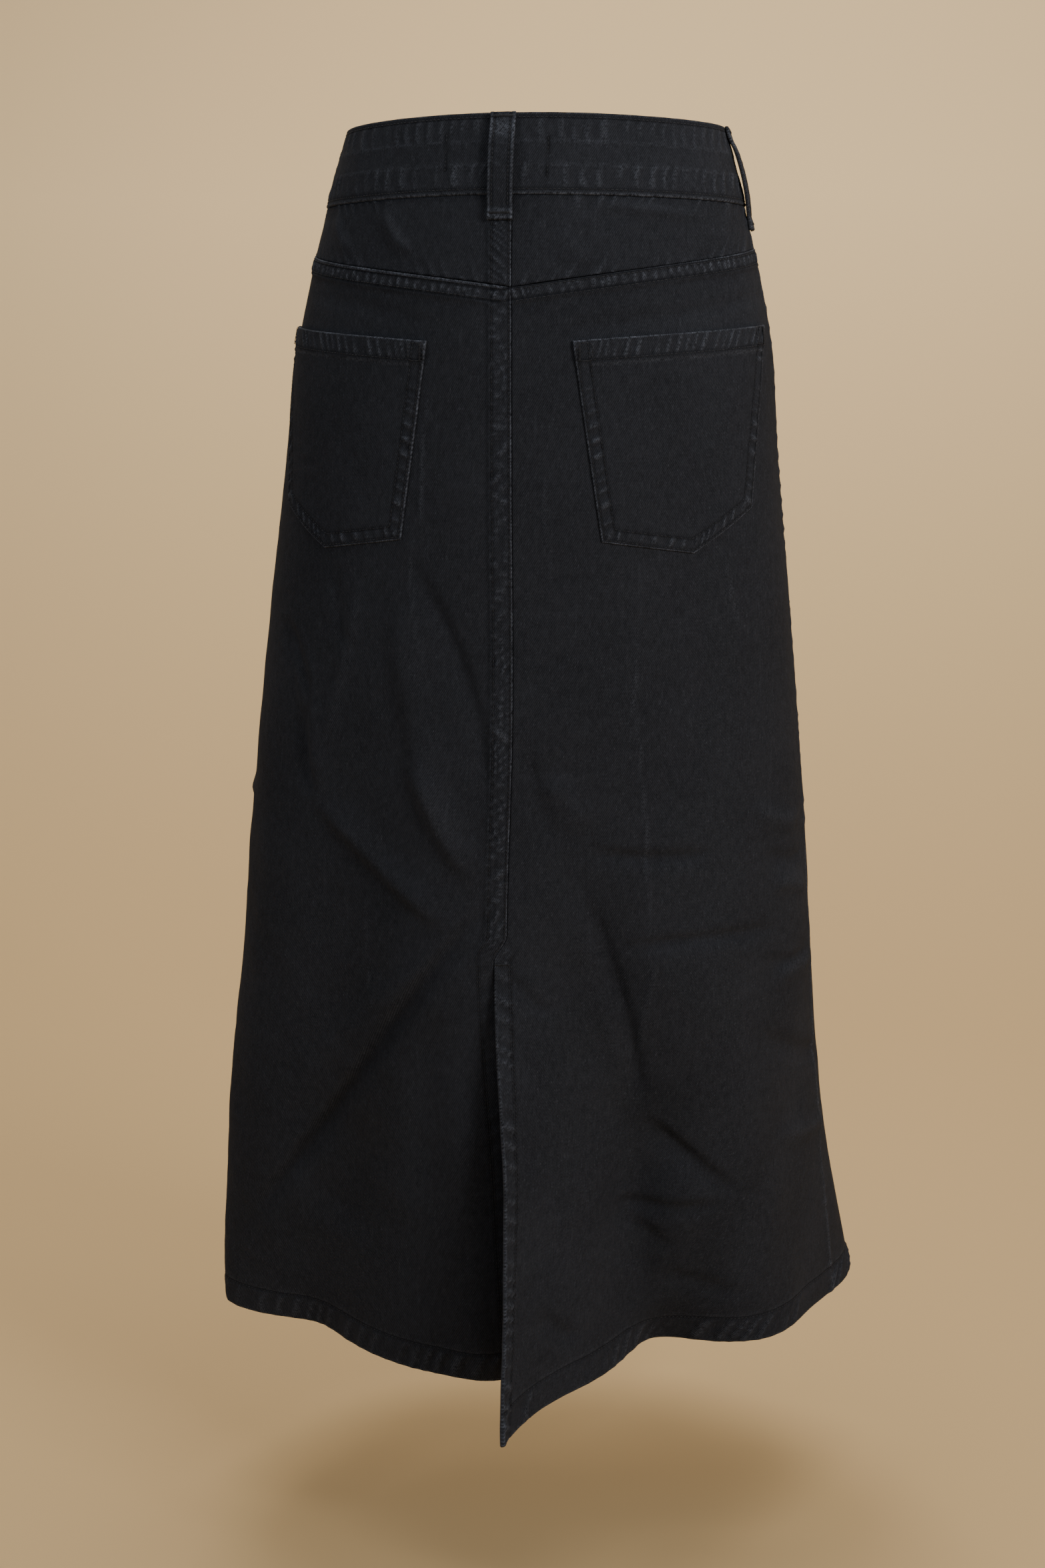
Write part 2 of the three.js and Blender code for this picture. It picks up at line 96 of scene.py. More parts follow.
class Finish:
    """A new material and its Principled shader, with methods that add to its nodes."""

    def __init__(self, name, roughness, specular):
        self.material = bpy.data.materials.new(name)
        self.material.use_nodes = True
        self.nodes, self.links = self.material.node_tree.nodes, self.material.node_tree.links
        self.shader = self.nodes["Principled BSDF"]
        self.feed(self.shader, {"Roughness": roughness, "Specular IOR Level": specular})

    def feed(self, node, inputs):
        """Gives each input of a node its number or colour, or another node's output."""
        for key, value in inputs.items():
            if isinstance(value, bpy.types.NodeSocket):
                self.links.new(value, node.inputs[key])
            else:
                node.inputs[key].default_value = value

    def node(self, kind, label, inputs, **settings):
        """Adds a labelled node and returns its outputs."""
        new = self.nodes.new("ShaderNode" + kind)
        new.label = label
        for key, value in settings.items():
            setattr(new, key, value)
        self.feed(new, inputs)
        return new.outputs

    def ramp(self, value, low, high):
        """0 where the value is `low`, 1 where it is `high`, and straight between."""
        inputs = {"Value": value, "From Min": low, "From Max": high}
        return self.node("MapRange", "range", inputs)["Result"]

    def mix(self, factor, a, b):
        """The colour a where the factor is 0 and b where it is 1."""
        a, b = ((*tone, 1) if isinstance(tone, tuple) else tone for tone in (a, b))
        return self.node("Mix", "mix", {0: factor, 6: a, 7: b}, data_type="RGBA")[2]

    def colour(self, tone):
        """Colours the shader."""
        self.feed(self.shader, {"Base Color": tone})

    def bump(self, label, height, strength, distance):
        """Tilts the shader's normal by the slope of a height."""
        inputs = {"Height": height, "Strength": strength, "Distance": distance}
        self.feed(self.shader, {"Normal": self.node("Bump", label, inputs)["Normal"]})


def plaster(name, floor_colour, wall_colour):
    """Matt paint whose colour passes from the floor's to the wall's with the height."""
    paint = Finish(name, roughness=0.95, specular=0.1)
    place = paint.node("TexCoord", "place", {})["Object"]
    height = paint.node("SeparateXYZ", "height", {0: place})["Z"]
    paint.colour(paint.mix(paint.ramp(height, -FLOOR_DEPTH, 0.2), floor_colour, wall_colour))
    return paint.material


floor_finish = plaster("floor_finish", floor_colour=(0.45, 0.31, 0.155), wall_colour=(0.70, 0.51, 0.28))


def plain_object(name, points, faces):
    """A smooth mesh object from a list of points and a list of faces with any number of corners."""
    mesh = bpy.data.meshes.new(name)
    mesh.from_pydata(points, [], faces)
    mesh.polygons.foreach_set("use_smooth", np.ones(len(faces), bool))
    piece = bpy.data.objects.new(name, mesh)
    bpy.context.collection.objects.link(piece)
    return piece


def sweep():
    """A floor whose far side bends up through a quarter circle into a wall: a profile of two
    straight runs joined by the arc, moved from side to side."""
    arc = np.radians(np.linspace(0, 90, 33))
    far = np.r_[FLOOR_REACH, SWEEP_START - SWEEP_RADIUS * np.sin(arc), SWEEP_START - SWEEP_RADIUS]
    high = np.r_[0.0, SWEEP_RADIUS * (1 - np.cos(arc)), WALL_HEIGHT] - FLOOR_DEPTH
    aside = np.array([-SWEEP_HALF_WIDTH, SWEEP_HALF_WIDTH])
    grid = np.stack(np.broadcast_arrays(aside[None, :], far[:, None], high[:, None]), -1)
    at = np.arange(grid.size // 3).reshape(-1, 2)
    faces = np.stack([at[:-1, 1], at[:-1, 0], at[1:, 0], at[1:, 1]], -1)
    return plain_object("floor", grid.reshape(-1, 3).tolist(), faces.tolist())


floor = sweep()
floor.data.materials.append(floor_finish)

# Back panels
# Two lengths of washed black twill, joined by a felled seam down to the slit, with the top edge
# folded over the yokes and the hem and the slit's edges turned in. Everything else is sewn to
# them, so the worn shape of the whole skirt is worked out here. Sizes are in millimetres: `depth`
# is measured down from the waist edge and `across` round from the back seam, positive towards
# the wearer's left.
METRE = 0.001
LENGTH = 905.0
PLY = 1.4
DOUBLED = 3.0
GAP = 0.3
SEAM_OPENING = 0.04
SEAM_ROUNDING = 0.5
BAND_HEIGHT = 53.0
YOKE_DEPTH_BACK = 118.0
YOKE_DEPTH_SIDE = 88.0
FELL_WIDTH = 11.0
FELL_RISE = 1.0
CENTRE_FELL_WIDTH = 15.0
CENTRE_FELL_LAP = 9.0
SEAM_SWING_START = 555.0
SLIT_TOP = 575.0
SLIT_FACING = 14.0
HEM_DEPTH = 23.0
PANEL_TOP_WIDTH = 229.0
FOLD_GROWTH = 1.4
SLIT_GROWTH = 1.15
SIDES = ((1, "left"), (-1, "right"))

# What the slit's right and left edges do at the hem: how far each stands out, hangs lower and
# slides aside, each with the degrees round that it fades over.
SLIT_OUT = ((76, 8), (-14, 12))
SLIT_DROP = ((10, 12), (6, 20))
SLIT_SLIDE = ((0, 20), (4, 20))

# The waist edge's rise at the back and dip at the front, each with its half-width in degrees,
# and the depth where both have faded out.
BACK_RISE = (3, 50)
FRONT_DIP = (8, 45)
WAIST_FADE = 250.0

# How far in from the edge that they follow the rows of stitches lie, the grooves they press and
# the shade painted in them.
FELL_ROWS = (1.9, FELL_WIDTH - 1.6)
LAP_ROWS = (1.6, CENTRE_FELL_WIDTH - 1.8)
FACING_ROWS = (SLIT_FACING - 1.6, SLIT_FACING - 3.2)
HEM_ROW = HEM_DEPTH - 1.0
GROOVE_WIDTH = 0.9
GROOVE_DEPTH = 0.35
GROOVE_SHADE = 0.7

# Radii of the rounded edges, and a distance past an edge, for bands that take it in.
FOLD_ROUNDING = 0.9
HEM_ROUNDING = 1.4
BEYOND = -5.0

section_columns = ("depth", "half_width", "x", "y", "back", "front", "turn", "seam_x")
section_rows = [
    (0, 134, 0, 0, 95, 95, 0, 8),
    (55, 150, 0, 2, 107, 104, 0, 8),
    (150, 172, 1, 4, 121, 114, 0, 6),
    (230, 181, 3, 4, 127, 120, 0, 5),
    (400, 200, 5, 0, 134, 130, -5, 4),
    (575, 217, 5, -8, 142, 136, -11, 8),
    (740, 231, 11, -22, 150, 140, -15, 2),
    (905, 246, 13, -40, 160, 144, -18, 7),
]
sections = dict(zip(section_columns, np.array(section_rows, float).T))

# Long folds: angle round from the back seam at the start and at the hem, half-widths there,
# height at the hem, depth where the fold starts.
long_folds = [
    (26, 48, 16, 27, -54, 330),
    (84, 84, 12, 9, 8, 350),
    (-12, -32, 8, 11, -42, 400),
    (-40, -56, 10, 12, 9, 400),
    (-100, -102, 18, 20, 30, 600),
    (122, 118, 14, 14, -10, 350),
    (150, 150, 20, 20, 12, 350),
    (180, 180, 14, 14, -14, 350),
    (-150, -150, 20, 20, 10, 350),
    (-124, -132, 14, 14, -12, 350),
]


def smooth(x):
    """0 below 0, 1 above 1 and an S-curve between them."""
    x = np.clip(x, 0, 1)
    return x * x * (3 - 2 * x)


def bell(x, width):
    """1 at 0, falling away evenly on both sides as the exponential of minus (x / width) squared."""
    return np.exp(-((x / width) ** 2))


def band(x, low, high, soft):
    """1 between low and high, falling to 0 over the distance soft at both ends."""
    return smooth((x - low) / soft + 0.5) * smooth((high - x) / soft + 0.5)


def cubic(at, x, y, slope):
    """A curve through points with a given slope at each: a cubic from one point to the next."""
    i = np.clip(np.searchsorted(x, at, side="right") - 1, 0, len(x) - 2)
    high = x[i + 1] - x[i]
    q = (at - x[i]) / high
    ends = (1 + 2 * q) * (1 - q) ** 2 * y[i] + q * q * (3 - 2 * q) * y[i + 1]
    return ends + high * (q * (1 - q) ** 2 * slope[i] + q * q * (q - 1) * slope[i + 1])


def section(name, depth):
    """One column of the sections at any depths. The slope at a row is the mean of the slopes
    beside it, each weighted by the other's height."""
    x, y = sections["depth"], sections[name]
    high = np.diff(x)
    rise = np.diff(y) / high
    inner = (rise[:-1] * high[1:] + rise[1:] * high[:-1]) / (high[:-1] + high[1:])
    return cubic(depth, x, y, np.concatenate([rise[:1], inner, rise[-1:]]))


def slit_opening(depth):
    """How far the slit has opened: 0 at its top, 1 at the hem."""
    return np.clip((depth - SLIT_TOP) / (LENGTH - SLIT_TOP), 0, 1) ** SLIT_GROWTH


def beside_slit(around, edges):
    """What the slit's two edges do at an angle round: the right one's amount falling away
    exponentially from 360 degrees, and the left one's from 0."""
    (right, right_fade), (left, left_fade) = edges
    return right * np.exp(-(360 - around) / right_fade) + left * np.exp(-around / left_fade)


def fold_height(depth, around):
    """How far the cloth stands out from its plain section: a bell across each long fold, growing
    towards the hem, and the two edges of the slit, falling away exponentially from it."""
    height = 0
    for at, at_hem, width, width_hem, high, start in long_folds:
        down = np.clip((depth - start) / (LENGTH - start), 0, 1)
        centre = (at + (at_hem - at) * down) % 360
        wide = width + (width_hem - width) * down
        height = height + high * down**FOLD_GROWTH * bell(around - centre, wide)
    return height + slit_opening(depth) * beside_slit(around, SLIT_OUT)


def face_at(depth, around, folded=1.0):
    """The outer face at a depth and an angle round from the back seam: a point of the ellipse of
    that depth, moved out along its normal by the folds, turned with the section and set at its
    centre. The waist edge rises at the back and dips at the front. The slit's left edge slides
    behind the right one, and both corners hang lower."""
    wide, back, front = (section(name, depth) for name in ("half_width", "back", "front"))
    x, y = section("x", depth), section("y", depth)
    turn = np.radians(section("turn", depth))
    across_wide, across_back = wide * np.cos(turn), back * np.sin(turn)
    start = np.arcsin((section("seam_x", depth) - x) / np.hypot(across_wide, across_back))
    open_by = slit_opening(depth)
    slide = folded * open_by**2 * beside_slit(around, SLIT_SLIDE)
    angle = start - np.arctan2(across_back, across_wide) + np.radians(around - slide)
    reach = np.where(np.cos(angle) > 0, back, front)
    out_x, out_y = np.sin(angle) / wide, np.cos(angle) / reach
    high = folded * fold_height(depth, around) / np.hypot(out_x, out_y)
    px, py = wide * np.sin(angle) + out_x * high, reach * np.cos(angle) + out_y * high
    from_back = np.minimum(around, 360 - around)
    rise = BACK_RISE[0] * bell(from_back, BACK_RISE[1]) - FRONT_DIP[0] * bell(around - 180, FRONT_DIP[1])
    drop = open_by * beside_slit(around, SLIT_DROP)
    z = -depth + rise * np.clip(1 - depth / WAIST_FADE, 0, 1) - drop
    place = [x + px * np.cos(turn) + py * np.sin(turn), y - px * np.sin(turn) + py * np.cos(turn), z]
    return np.stack(np.broadcast_arrays(*place), -1)


RING_SPACING = 2.5
ACROSS_REACH = 760
ring_depths = np.arange(0, LENGTH + 1, RING_SPACING)
ring_angles = np.linspace(0, 360, 721)


def ring_lengths(folded):
    """Distances along each level ring from the back seam, summed from chord to chord."""
    ring = face_at(ring_depths[:, None], ring_angles[None, :], folded)
    steps = np.hypot(np.diff(ring[..., 0]), np.diff(ring[..., 1]))
    return np.concatenate([np.zeros((len(ring), 1)), np.cumsum(steps, 1)], 1)


lengths = ring_lengths(1.0)
plain_lengths = ring_lengths(0.0)
quarter_parts = np.array([0.25, 0.5, 0.75, 1])
quarters = np.array(
    [np.interp(quarter_parts * plain[-1], plain, real) for plain, real in zip(plain_lengths, lengths)]
)
across_steps = np.arange(0, ACROSS_REACH + 1)
angles_left = np.array([np.interp(across_steps, row, ring_angles) for row in lengths])
angles_right = np.array([np.interp(row[-1] - across_steps, row, ring_angles) for row in lengths])
LEFT_SIDE, FRONT, RIGHT_SIDE, WHOLE = range(4)


def seam_across(depth, quarter, side=1):
    """Distance across of a seam at each depth: the left side, the front or the right side. With
    side -1 it is measured the other way round from the back seam, and negative."""
    place = quarters[:, quarter] - (quarters[:, WHOLE] if side < 0 else 0)
    return np.interp(depth, ring_depths, place)


def side_seam(depth, side):
    """Distance across of the side seam of one side."""
    return seam_across(depth, LEFT_SIDE if side > 0 else RIGHT_SIDE, side)


def angle_at(depth, across):
    """The angle round at a distance across, read between the nearest rings and distances."""
    d = np.clip(depth / RING_SPACING, 0, len(ring_depths) - 1.001)
    a = np.clip(np.abs(across), 0, ACROSS_REACH - 0.001)
    i, j = np.floor(d).astype(int), np.floor(a).astype(int)
    u, v = d - i, a - j

    def read(table):
        """Mixes the four nearest entries by how near they are."""
        above = table[i, j] * (1 - v) + table[i, j + 1] * v
        below = table[i + 1, j] * (1 - v) + table[i + 1, j + 1] * v
        return above * (1 - u) + below * u

    return np.where(across < 0, read(angles_right), read(angles_left))


def cloth(depth, across, out):
    """Points `out` millimetres beyond the outer face, and its normals: the cross product of the
    steps round and down."""
    depth, across, out = np.broadcast_arrays(depth, across, out)
    around = angle_at(depth, across)
    left, right = np.clip(around - 0.5, 0, 360), np.clip(around + 0.5, 0, 360)
    top, bottom = np.clip(depth - 1.5, 0, LENGTH), np.clip(depth + 1.5, 0, LENGTH)
    along = face_at(depth, right) - face_at(depth, left)
    down = face_at(bottom, around) - face_at(top, around)
    normal = np.cross(along, down)
    normal /= np.linalg.norm(normal, axis=-1, keepdims=True)
    return face_at(depth, around) + normal * out[..., None], normal


def patches(x, y, seed):
    """Smooth random hills from -1 to 1, about one to a unit square: seeded heights at the corners
    of a grid, joined by S-curves."""
    grid = np.random.default_rng(seed).uniform(-1, 1, (64, 64))
    x, y = np.broadcast_arrays(x, y)
    i, j = np.floor(x).astype(int), np.floor(y).astype(int)
    u, v = smooth(x - i), smooth(y - j)
    top = grid[i % 64, j % 64] * (1 - u) + grid[(i + 1) % 64, j % 64] * u
    bottom = grid[i % 64, (j + 1) % 64] * (1 - u) + grid[(i + 1) % 64, (j + 1) % 64] * u
    return top * (1 - v) + bottom * v


def puckers(along, off, seed, spacing=8.0, slant=0.5, steady=0.0):
    """Ripples that a shrunken seam draws up beside it: a wave along the seam, leaning by `slant`
    for each millimetre off it, whose lean, spacing and strength wander. From about -1 to 1; with
    `steady` near 1 none of the ripples is missing."""
    x = along + slant * off * (1 + 0.9 * patches(along / (5 * spacing), 4.5, seed))
    x = x + 0.9 * spacing * patches(x / (2.1 * spacing), 0.5, seed)
    strength = patches(x / (1.6 * spacing), 1.5 + off / (1.3 * spacing), seed)
    strength = 0.6 + 0.3 * steady + (0.85 - 0.55 * steady) * strength
    wave = 2 * (0.5 + 0.5 * np.sin(2 * np.pi * x / spacing)) ** 2 - 0.8
    return np.clip(strength, 0, 1.3) * wave


def crest(ripple):
    """How worn a ripple's top is: what stands above its middle, sharpened a little."""
    return np.clip(ripple, 0, 1) ** 1.5


def frayed(along, seed):
    """How unevenly an edge has worn along its length: two sizes of random hills about 0.7."""
    hills = 0.45 * patches(along / 8, 3.5, seed) + 0.35 * patches(along / 2.4, 8.5, seed)
    return np.clip(0.7 + hills, 0, 1.2)


def rubbed(along, off, seed, reach=1.9, soft=1.4):
    """The wear of an edge: uneven along it, and fading out at `reach` from it over `soft`."""
    return frayed(along, seed) * smooth((reach - off) / soft)


def grooves(off, *rows):
    """Height of the grooves that rows of stitches press, and their painted shade, which also stands
    for the dark thread's tone: a narrow bell across each.
    """
    pressed = sum(bell(off - row, GROOVE_WIDTH) for row in rows)
    return np.multiply.outer((-GROOVE_DEPTH, -GROOVE_SHADE), pressed)


def roll(distance, radius):
    """How far a rounded edge falls away at a distance from it: a quarter circle."""
    return radius * (1 - np.sqrt(1 - np.clip(1 - distance / radius, 0, 1) ** 2))


# Creases, each followed from its start to its end: where it starts (across, depth) and ends, how
# far it bends aside, its half-width, its height, the share by which it is wider on its right and
# narrower on its left, and how worn its crest is, or, where that is negative, how much shade is
# painted along it. The last 11 are on the sides and the front.
crease_rows = [
    (184, 340, 150, 402, -6, 7, -4, 0.45, 0),
    (150, 385, 147, 470, 6, 6, -4, 0.3, 0),
    (174, 344, 139, 470, -4, 8, 2.8, -0.4, 0),
    (150, 462, 28, 556, 2, 8, 4.2, -0.5, 0.05),
    (70, 424, 12, 524, 3, 8, 3.6, -0.5, 0.05),
    (70, 284, 8, 464, -15, 6, -2.8, 0.4, 0),
    (102, 294, 142, 440, -4, 5, 1.8, 0, 0.05),
    (72, 296, 22, 520, 14, 13, 3.2, -0.4, 0.03),
    (-10, 514, 262, 856, 0, 6.5, -5.8, -0.5, -0.24),
    (20, 562, 196, 728, 12, 12, 2.4, 0, 0.03),
    (34, 600, 66, 772, 5, 19, -3, 0, 0),
    (28, 610, 30, 1010, 0, 24, 5.4, 0, 0),
    (120, 700, 150, 822, 0, 26, -4.5, 0, 0),
    (-17, 408, -48, 500, 5, 6, -1.9, 0.4, 0),
    (-28, 440, -62, 486, -5, 9, 2.4, 0, 0.05),
    (-6, 578, -46, 618, 3, 4.5, -2.2, 0.3, 0),
    (-44, 514, -104, 706, -6, 12, 3.4, 0.3, 0.03),
    (-60, 514, -120, 706, -6, 5, -3.2, 0.4, -0.05),
    (-114, 700, -214, 778, 1, 7, -4.4, 0.5, -0.05),
    (-58, 494, -166, 501, 4, 5, -3, 0.3, 0),
    (-84, 566, -236, 570, -3, 5, -2.8, 0.3, 0),
    (-122, 560, -110, 672, 3, 3, 0.9, 0, 0.1),
    (-98, 772, -206, 782, 2, 6, -3, 0.3, -0.04),
    (-104, 776, -180, 820, 0, 6, -1.8, 0.3, 0),
    (-160, 830, -254, 864, 3, 6, -1.8, 0.3, 0),
    (-34, 826, -88, 868, 2, 5, -2.4, 0.3, 0),
    (-144, 735, -182, 912, 0, 25, 8, 0, 0),
    (-190, 470, -262, 492, 5, 7, 2.4, 0.3, 0.08),
    (-206, 508, -270, 522, 4, 6, -2.4, 0.3, 0),
    (-214, 536, -280, 552, -5, 7, 2.6, -0.3, 0.08),
    (-210, 590, -284, 598, 6, 6, -2.4, 0.3, 0),
    (-222, 612, -298, 610, -6, 7, 2.4, 0.3, 0.08),
    (-212, 644, -330, 694, 8, 8, -3.2, 0.2, 0.03),
    (-240, 734, -345, 752, 5, 8, 2.6, 0, 0.08),
    (-18, 142, -240, 108, 3, 5, -1.3, 0, 0),
    (24, 142, 176, 112, 3, 4.5, -1, 0, 0),
    (88, 55, 60, 92, 4, 5, 2.2, 0.3, 0.02),
    (142, 58, 116, 88, 3, 6, 1.7, 0.3, 0.02),
    (-58, 57, -152, 63, 2, 4, 1.4, 0, 0.03),
    (-40, 70, -66, 100, 3, 6, 1.2, 0.3, 0.03),
    (46, 160, 52, 300, 5, 1.5, 0.5, 0, 0.26),
    (-92, 308, -88, 420, -5, 1.4, 0.4, 0, 0.2),
    (-78, 300, -116, 622, -6, 1.8, 0.3, 0, 0.15),
    (-144, 168, -98, 262, 3, 2, 0.3, 0, 0.13),
    (-162, 282, -182, 352, 4, 1.5, 0.4, 0, 0.22),
    (128, 292, 110, 368, 4, 5, -1.6, 0, 0),
    (62, 262, 50, 380, 6, 1.6, 0.5, 0, 0.2),
    (-34, 214, -40, 330, 5, 1.4, 0.3, 0, 0.12),
    (100, 520, 92, 640, 5, 1.6, 0.4, 0, 0.16),
    (-98, 436, -108, 540, -4, 1.5, 0.4, 0, 0.14),
    (232, 470, 300, 520, 8, 8, 3.2, 0.3, 0.1),
    (255, 600, 345, 560, -10, 7, -3.4, 0, 0),
    (262, 690, 380, 742, 12, 10, 4.2, 0.3, 0.1),
    (300, 150, 352, 196, 6, 8, -2.6, 0.3, 0),
    (-268, 132, -362, 188, 10, 9, 2.8, 0.3, 0.1),
    (-290, 215, -372, 226, -5, 7, -2.4, 0, 0),
    (316, 250, 398, 318, 8, 12, 3.4, 0.3, 0.1),
    (-352, 380, -440, 540, 16, 15, -4.8, 0.2, 0),
    (372, 430, 452, 640, -14, 14, 4.6, -0.3, 0.1),
    (-392, 640, -520, 800, 14, 18, 5.6, 0.3, 0.1),
    (404, 700, 520, 850, -12, 16, -5, 0.2, 0),
]
CREASE_FADE = 0.3


def creases(depth, across):
    """The height of the creases, and their wear or painted shade: a bell across each bowed line, wider
    on one side, rising and fading smoothly over the first and the last part of its way."""
    height, wear_and_shade = 0, 0
    for start, top, end, bottom, bend, width, high, lean, worn in crease_rows:
        run, fall = end - start, bottom - top
        length = np.hypot(run, fall)
        t = ((across - start) * run + (depth - top) * fall) / length**2
        off = ((across - start) * fall - (depth - top) * run) / length - 4 * bend * t * (1 - t)
        wide = width * (1 + lean * np.tanh(off / width))
        rise = bell(off, wide) * smooth(t / CREASE_FADE) * smooth((1 - t) / CREASE_FADE)
        height = height + high * rise
        # Worn crests where `worn` is above zero; painted shade along the crease where it is below zero.
        wear_and_shade = wear_and_shade + worn * rise**3
    return height, wear_and_shade


def settle(depth, across):
    """Height, and wear or painted shade, that the whole skirt shares: its creases, and faint broad
    unevenness that grows down from the hips and fades out at the centre front."""
    height, wear_and_shade = creases(depth, across)
    from_front = np.where(across < 0, -seam_across(depth, FRONT, -1), seam_across(depth, FRONT))
    from_front = from_front - np.abs(across)
    loose = (0.25 + 0.75 * smooth((depth - 250) / 350)) * smooth(from_front / 60)
    height = height + loose * 1.3 * patches(across / 52 + 20, depth / 66, 11)
    height = height + loose * 0.55 * patches(across / 21 + depth / 60 + 40, depth / 27, 12)
    height = height + 0.12 * patches(across / 7 + 30, depth / 9, 13)
    return height, wear_and_shade


def yoke_seam(part):
    """Depth of the yoke seam, from 0 at the back seam to 1 at a side seam."""
    return YOKE_DEPTH_BACK + (YOKE_DEPTH_SIDE - YOKE_DEPTH_BACK) * np.abs(part)


def back_seam(depth):
    """Where the back seam's folded edge lies, swinging to the middle just above the slit."""
    return -CENTRE_FELL_LAP * (1 - smooth((depth - SEAM_SWING_START) / (SLIT_TOP - SEAM_SWING_START)))


def together(*reliefs):
    """The sum of several heights and the sum of their wear and painted shade."""
    return [sum(parts) for parts in zip(*reliefs)]


def hem_relief(depth, across, seed):
    """Height, and wear and painted shade, of the turned hem: leaning ripples between its stitching
    and its edge, a groove along the stitches with shade painted in it and a pale, knocked edge."""
    up = LENGTH - depth
    ripple = puckers(across + 0.012 * up**2, up, seed, spacing=14, slant=0.1)
    inside = band(up, 1.5, HEM_DEPTH - 3, 7)
    groove, painted_shade = grooves(up, HEM_ROW)
    height = 1.1 * ripple * inside + 0.35 * band(up, BEYOND, HEM_DEPTH - 2, 3) + groove
    wear_and_shade = 0.3 * crest(ripple) * inside + 0.5 * rubbed(across, up, seed, 2.6, 2)
    return height, wear_and_shade + 0.25 * frayed(across, seed + 1) * bell(up - HEM_DEPTH - 1, 1.2) + painted_shade


def side_seam_relief(depth, from_side):
    """Height and wear beside a side seam: a low ridge with small ripples and a worn crest."""
    ripple = puckers(depth, from_side, 26, spacing=11, slant=0.3)
    ridge = bell(from_side, 4.5)
    wear_and_shade = 0.5 * frayed(depth, 27) * bell(from_side, 1.6) + 0.35 * ridge * crest(ripple)
    return ridge * (0.7 + 0.45 * ripple), wear_and_shade


def lapped_fell(depth, from_edge):
    """Height, and wear and painted shade, of the left side's fold over the back seam: a raised band
    with leaning ripples, a worn folded edge, shade painted in the grooves of its stitches and a soft
    dip beyond the band's other side."""
    ripple = puckers(depth, from_edge, 22, spacing=5.6, slant=0.55, steady=0.7)
    lap = band(from_edge, BEYOND, CENTRE_FELL_WIDTH + 1, 3)
    between = band(from_edge, 2.2, CENTRE_FELL_WIDTH, 4)
    groove, painted_shade = grooves(from_edge, *LAP_ROWS)
    height = lap * (FELL_RISE + 0.62 * ripple * between + groove)
    height = height - 0.25 * bell(from_edge - CENTRE_FELL_WIDTH - 3.5, 2.5)
    edge = 0.95 * rubbed(depth, from_edge, 29, 1.5, 1.2)
    return height, lap * (edge + 0.52 * crest(ripple) * between + 0.7 * painted_shade)


def back_relief(depth, across, side):
    """Height, and wear and painted shade, of a back panel: the shared creases, the fold over the yoke,
    the felled back seam, the slit's facing, the side seam and the hem, with shade painted in the
    grooves of their stitches."""
    height, wear_and_shade = settle(depth, across)
    below = depth - yoke_seam(across / side_seam(depth, side)) + FELL_WIDTH / 2
    over = band(below, BEYOND, FELL_WIDTH + 1, 2)
    ripple = puckers(across, below * side, 21, spacing=6.2, slant=-0.3, steady=0.8)
    between = band(below, 2.2, FELL_WIDTH - 1.6, 2.5)
    groove, painted_shade = grooves(below, *FELL_ROWS)
    height = height + over * (FELL_RISE + 0.5 * ripple * between + groove)
    wear_and_shade = wear_and_shade + over * (0.85 * rubbed(across, below, 23) + painted_shade + 0.72 * crest(ripple) * between)

    closed = smooth((SLIT_TOP - 4 - depth) / 12)
    from_edge = (across - back_seam(depth)) * side
    if side > 0:
        more, worn = lapped_fell(depth, from_edge)
        doubled_rise = over * FELL_RISE * band(from_edge, BEYOND, CENTRE_FELL_WIDTH + 1, 2)
        height = height + closed * (more - doubled_rise)
        wear_and_shade = wear_and_shade + closed * worn
    facing = band(from_edge, BEYOND, SLIT_FACING, 3) * (1 - closed)
    ripple = puckers(depth, from_edge, 24, spacing=11, slant=-0.5, steady=0.5)
    strength = 0.35 if side > 0 else 1.0
    groove, painted_shade = grooves(from_edge, *FACING_ROWS)
    rippled = 0.8 * strength * ripple * band(from_edge, 1, SLIT_FACING - 2, 5)
    worn = 0.45 * crest(ripple) * band(from_edge, 1, SLIT_FACING - 1, 5) + 0.5 * rubbed(depth, from_edge, 28)
    height = height + facing * (rippled + 0.3 + groove)
    wear_and_shade = wear_and_shade + facing * (strength * worn + 0.4 * painted_shade)

    beside = side_seam_relief(depth, np.abs(side_seam(depth, side) - across))
    return together((height, wear_and_shade), beside, hem_relief(depth, across, 25))


def places(near_start, near_end, steps):
    """Where the lines of a grid lie, as parts of the way and extra distances: at the listed
    distances from the start, in equal steps, and at the listed distances from the end."""
    between = np.arange(1, steps) / steps
    part = np.concatenate([np.zeros(len(near_start)), between, np.ones(len(near_end))])
    from_start = near_start[-1] * (1 - between) - near_end[0] * between
    return part, np.concatenate([near_start, from_start, -np.asarray(near_end)])


def mesh_object(name, points, faces, side_map, values):
    """Puts arrays of points, faces, UVs and point attributes into a smooth mesh object."""
    mesh = bpy.data.meshes.new(name)
    corners = faces.shape[1]
    mesh.vertices.add(len(points))
    mesh.vertices.foreach_set("co", (points * METRE).ravel())
    mesh.loops.add(faces.size)
    mesh.loops.foreach_set("vertex_index", faces.ravel())
    mesh.polygons.add(len(faces))
    mesh.polygons.foreach_set("loop_start", np.arange(0, faces.size, corners))
    mesh.polygons.foreach_set("use_smooth", np.ones(len(faces), bool))
    mesh.update(calc_edges=True)
    layer = mesh.uv_layers.new(name="cloth")
    layer.data.foreach_set("uv", (side_map * METRE)[faces.ravel()].ravel())
    for key, value in values.items():
        mesh.attributes.new(key, "FLOAT", "POINT").data.foreach_set("value", value)
    piece = bpy.data.objects.new(name, mesh)
    bpy.context.collection.objects.link(piece)
    return piece


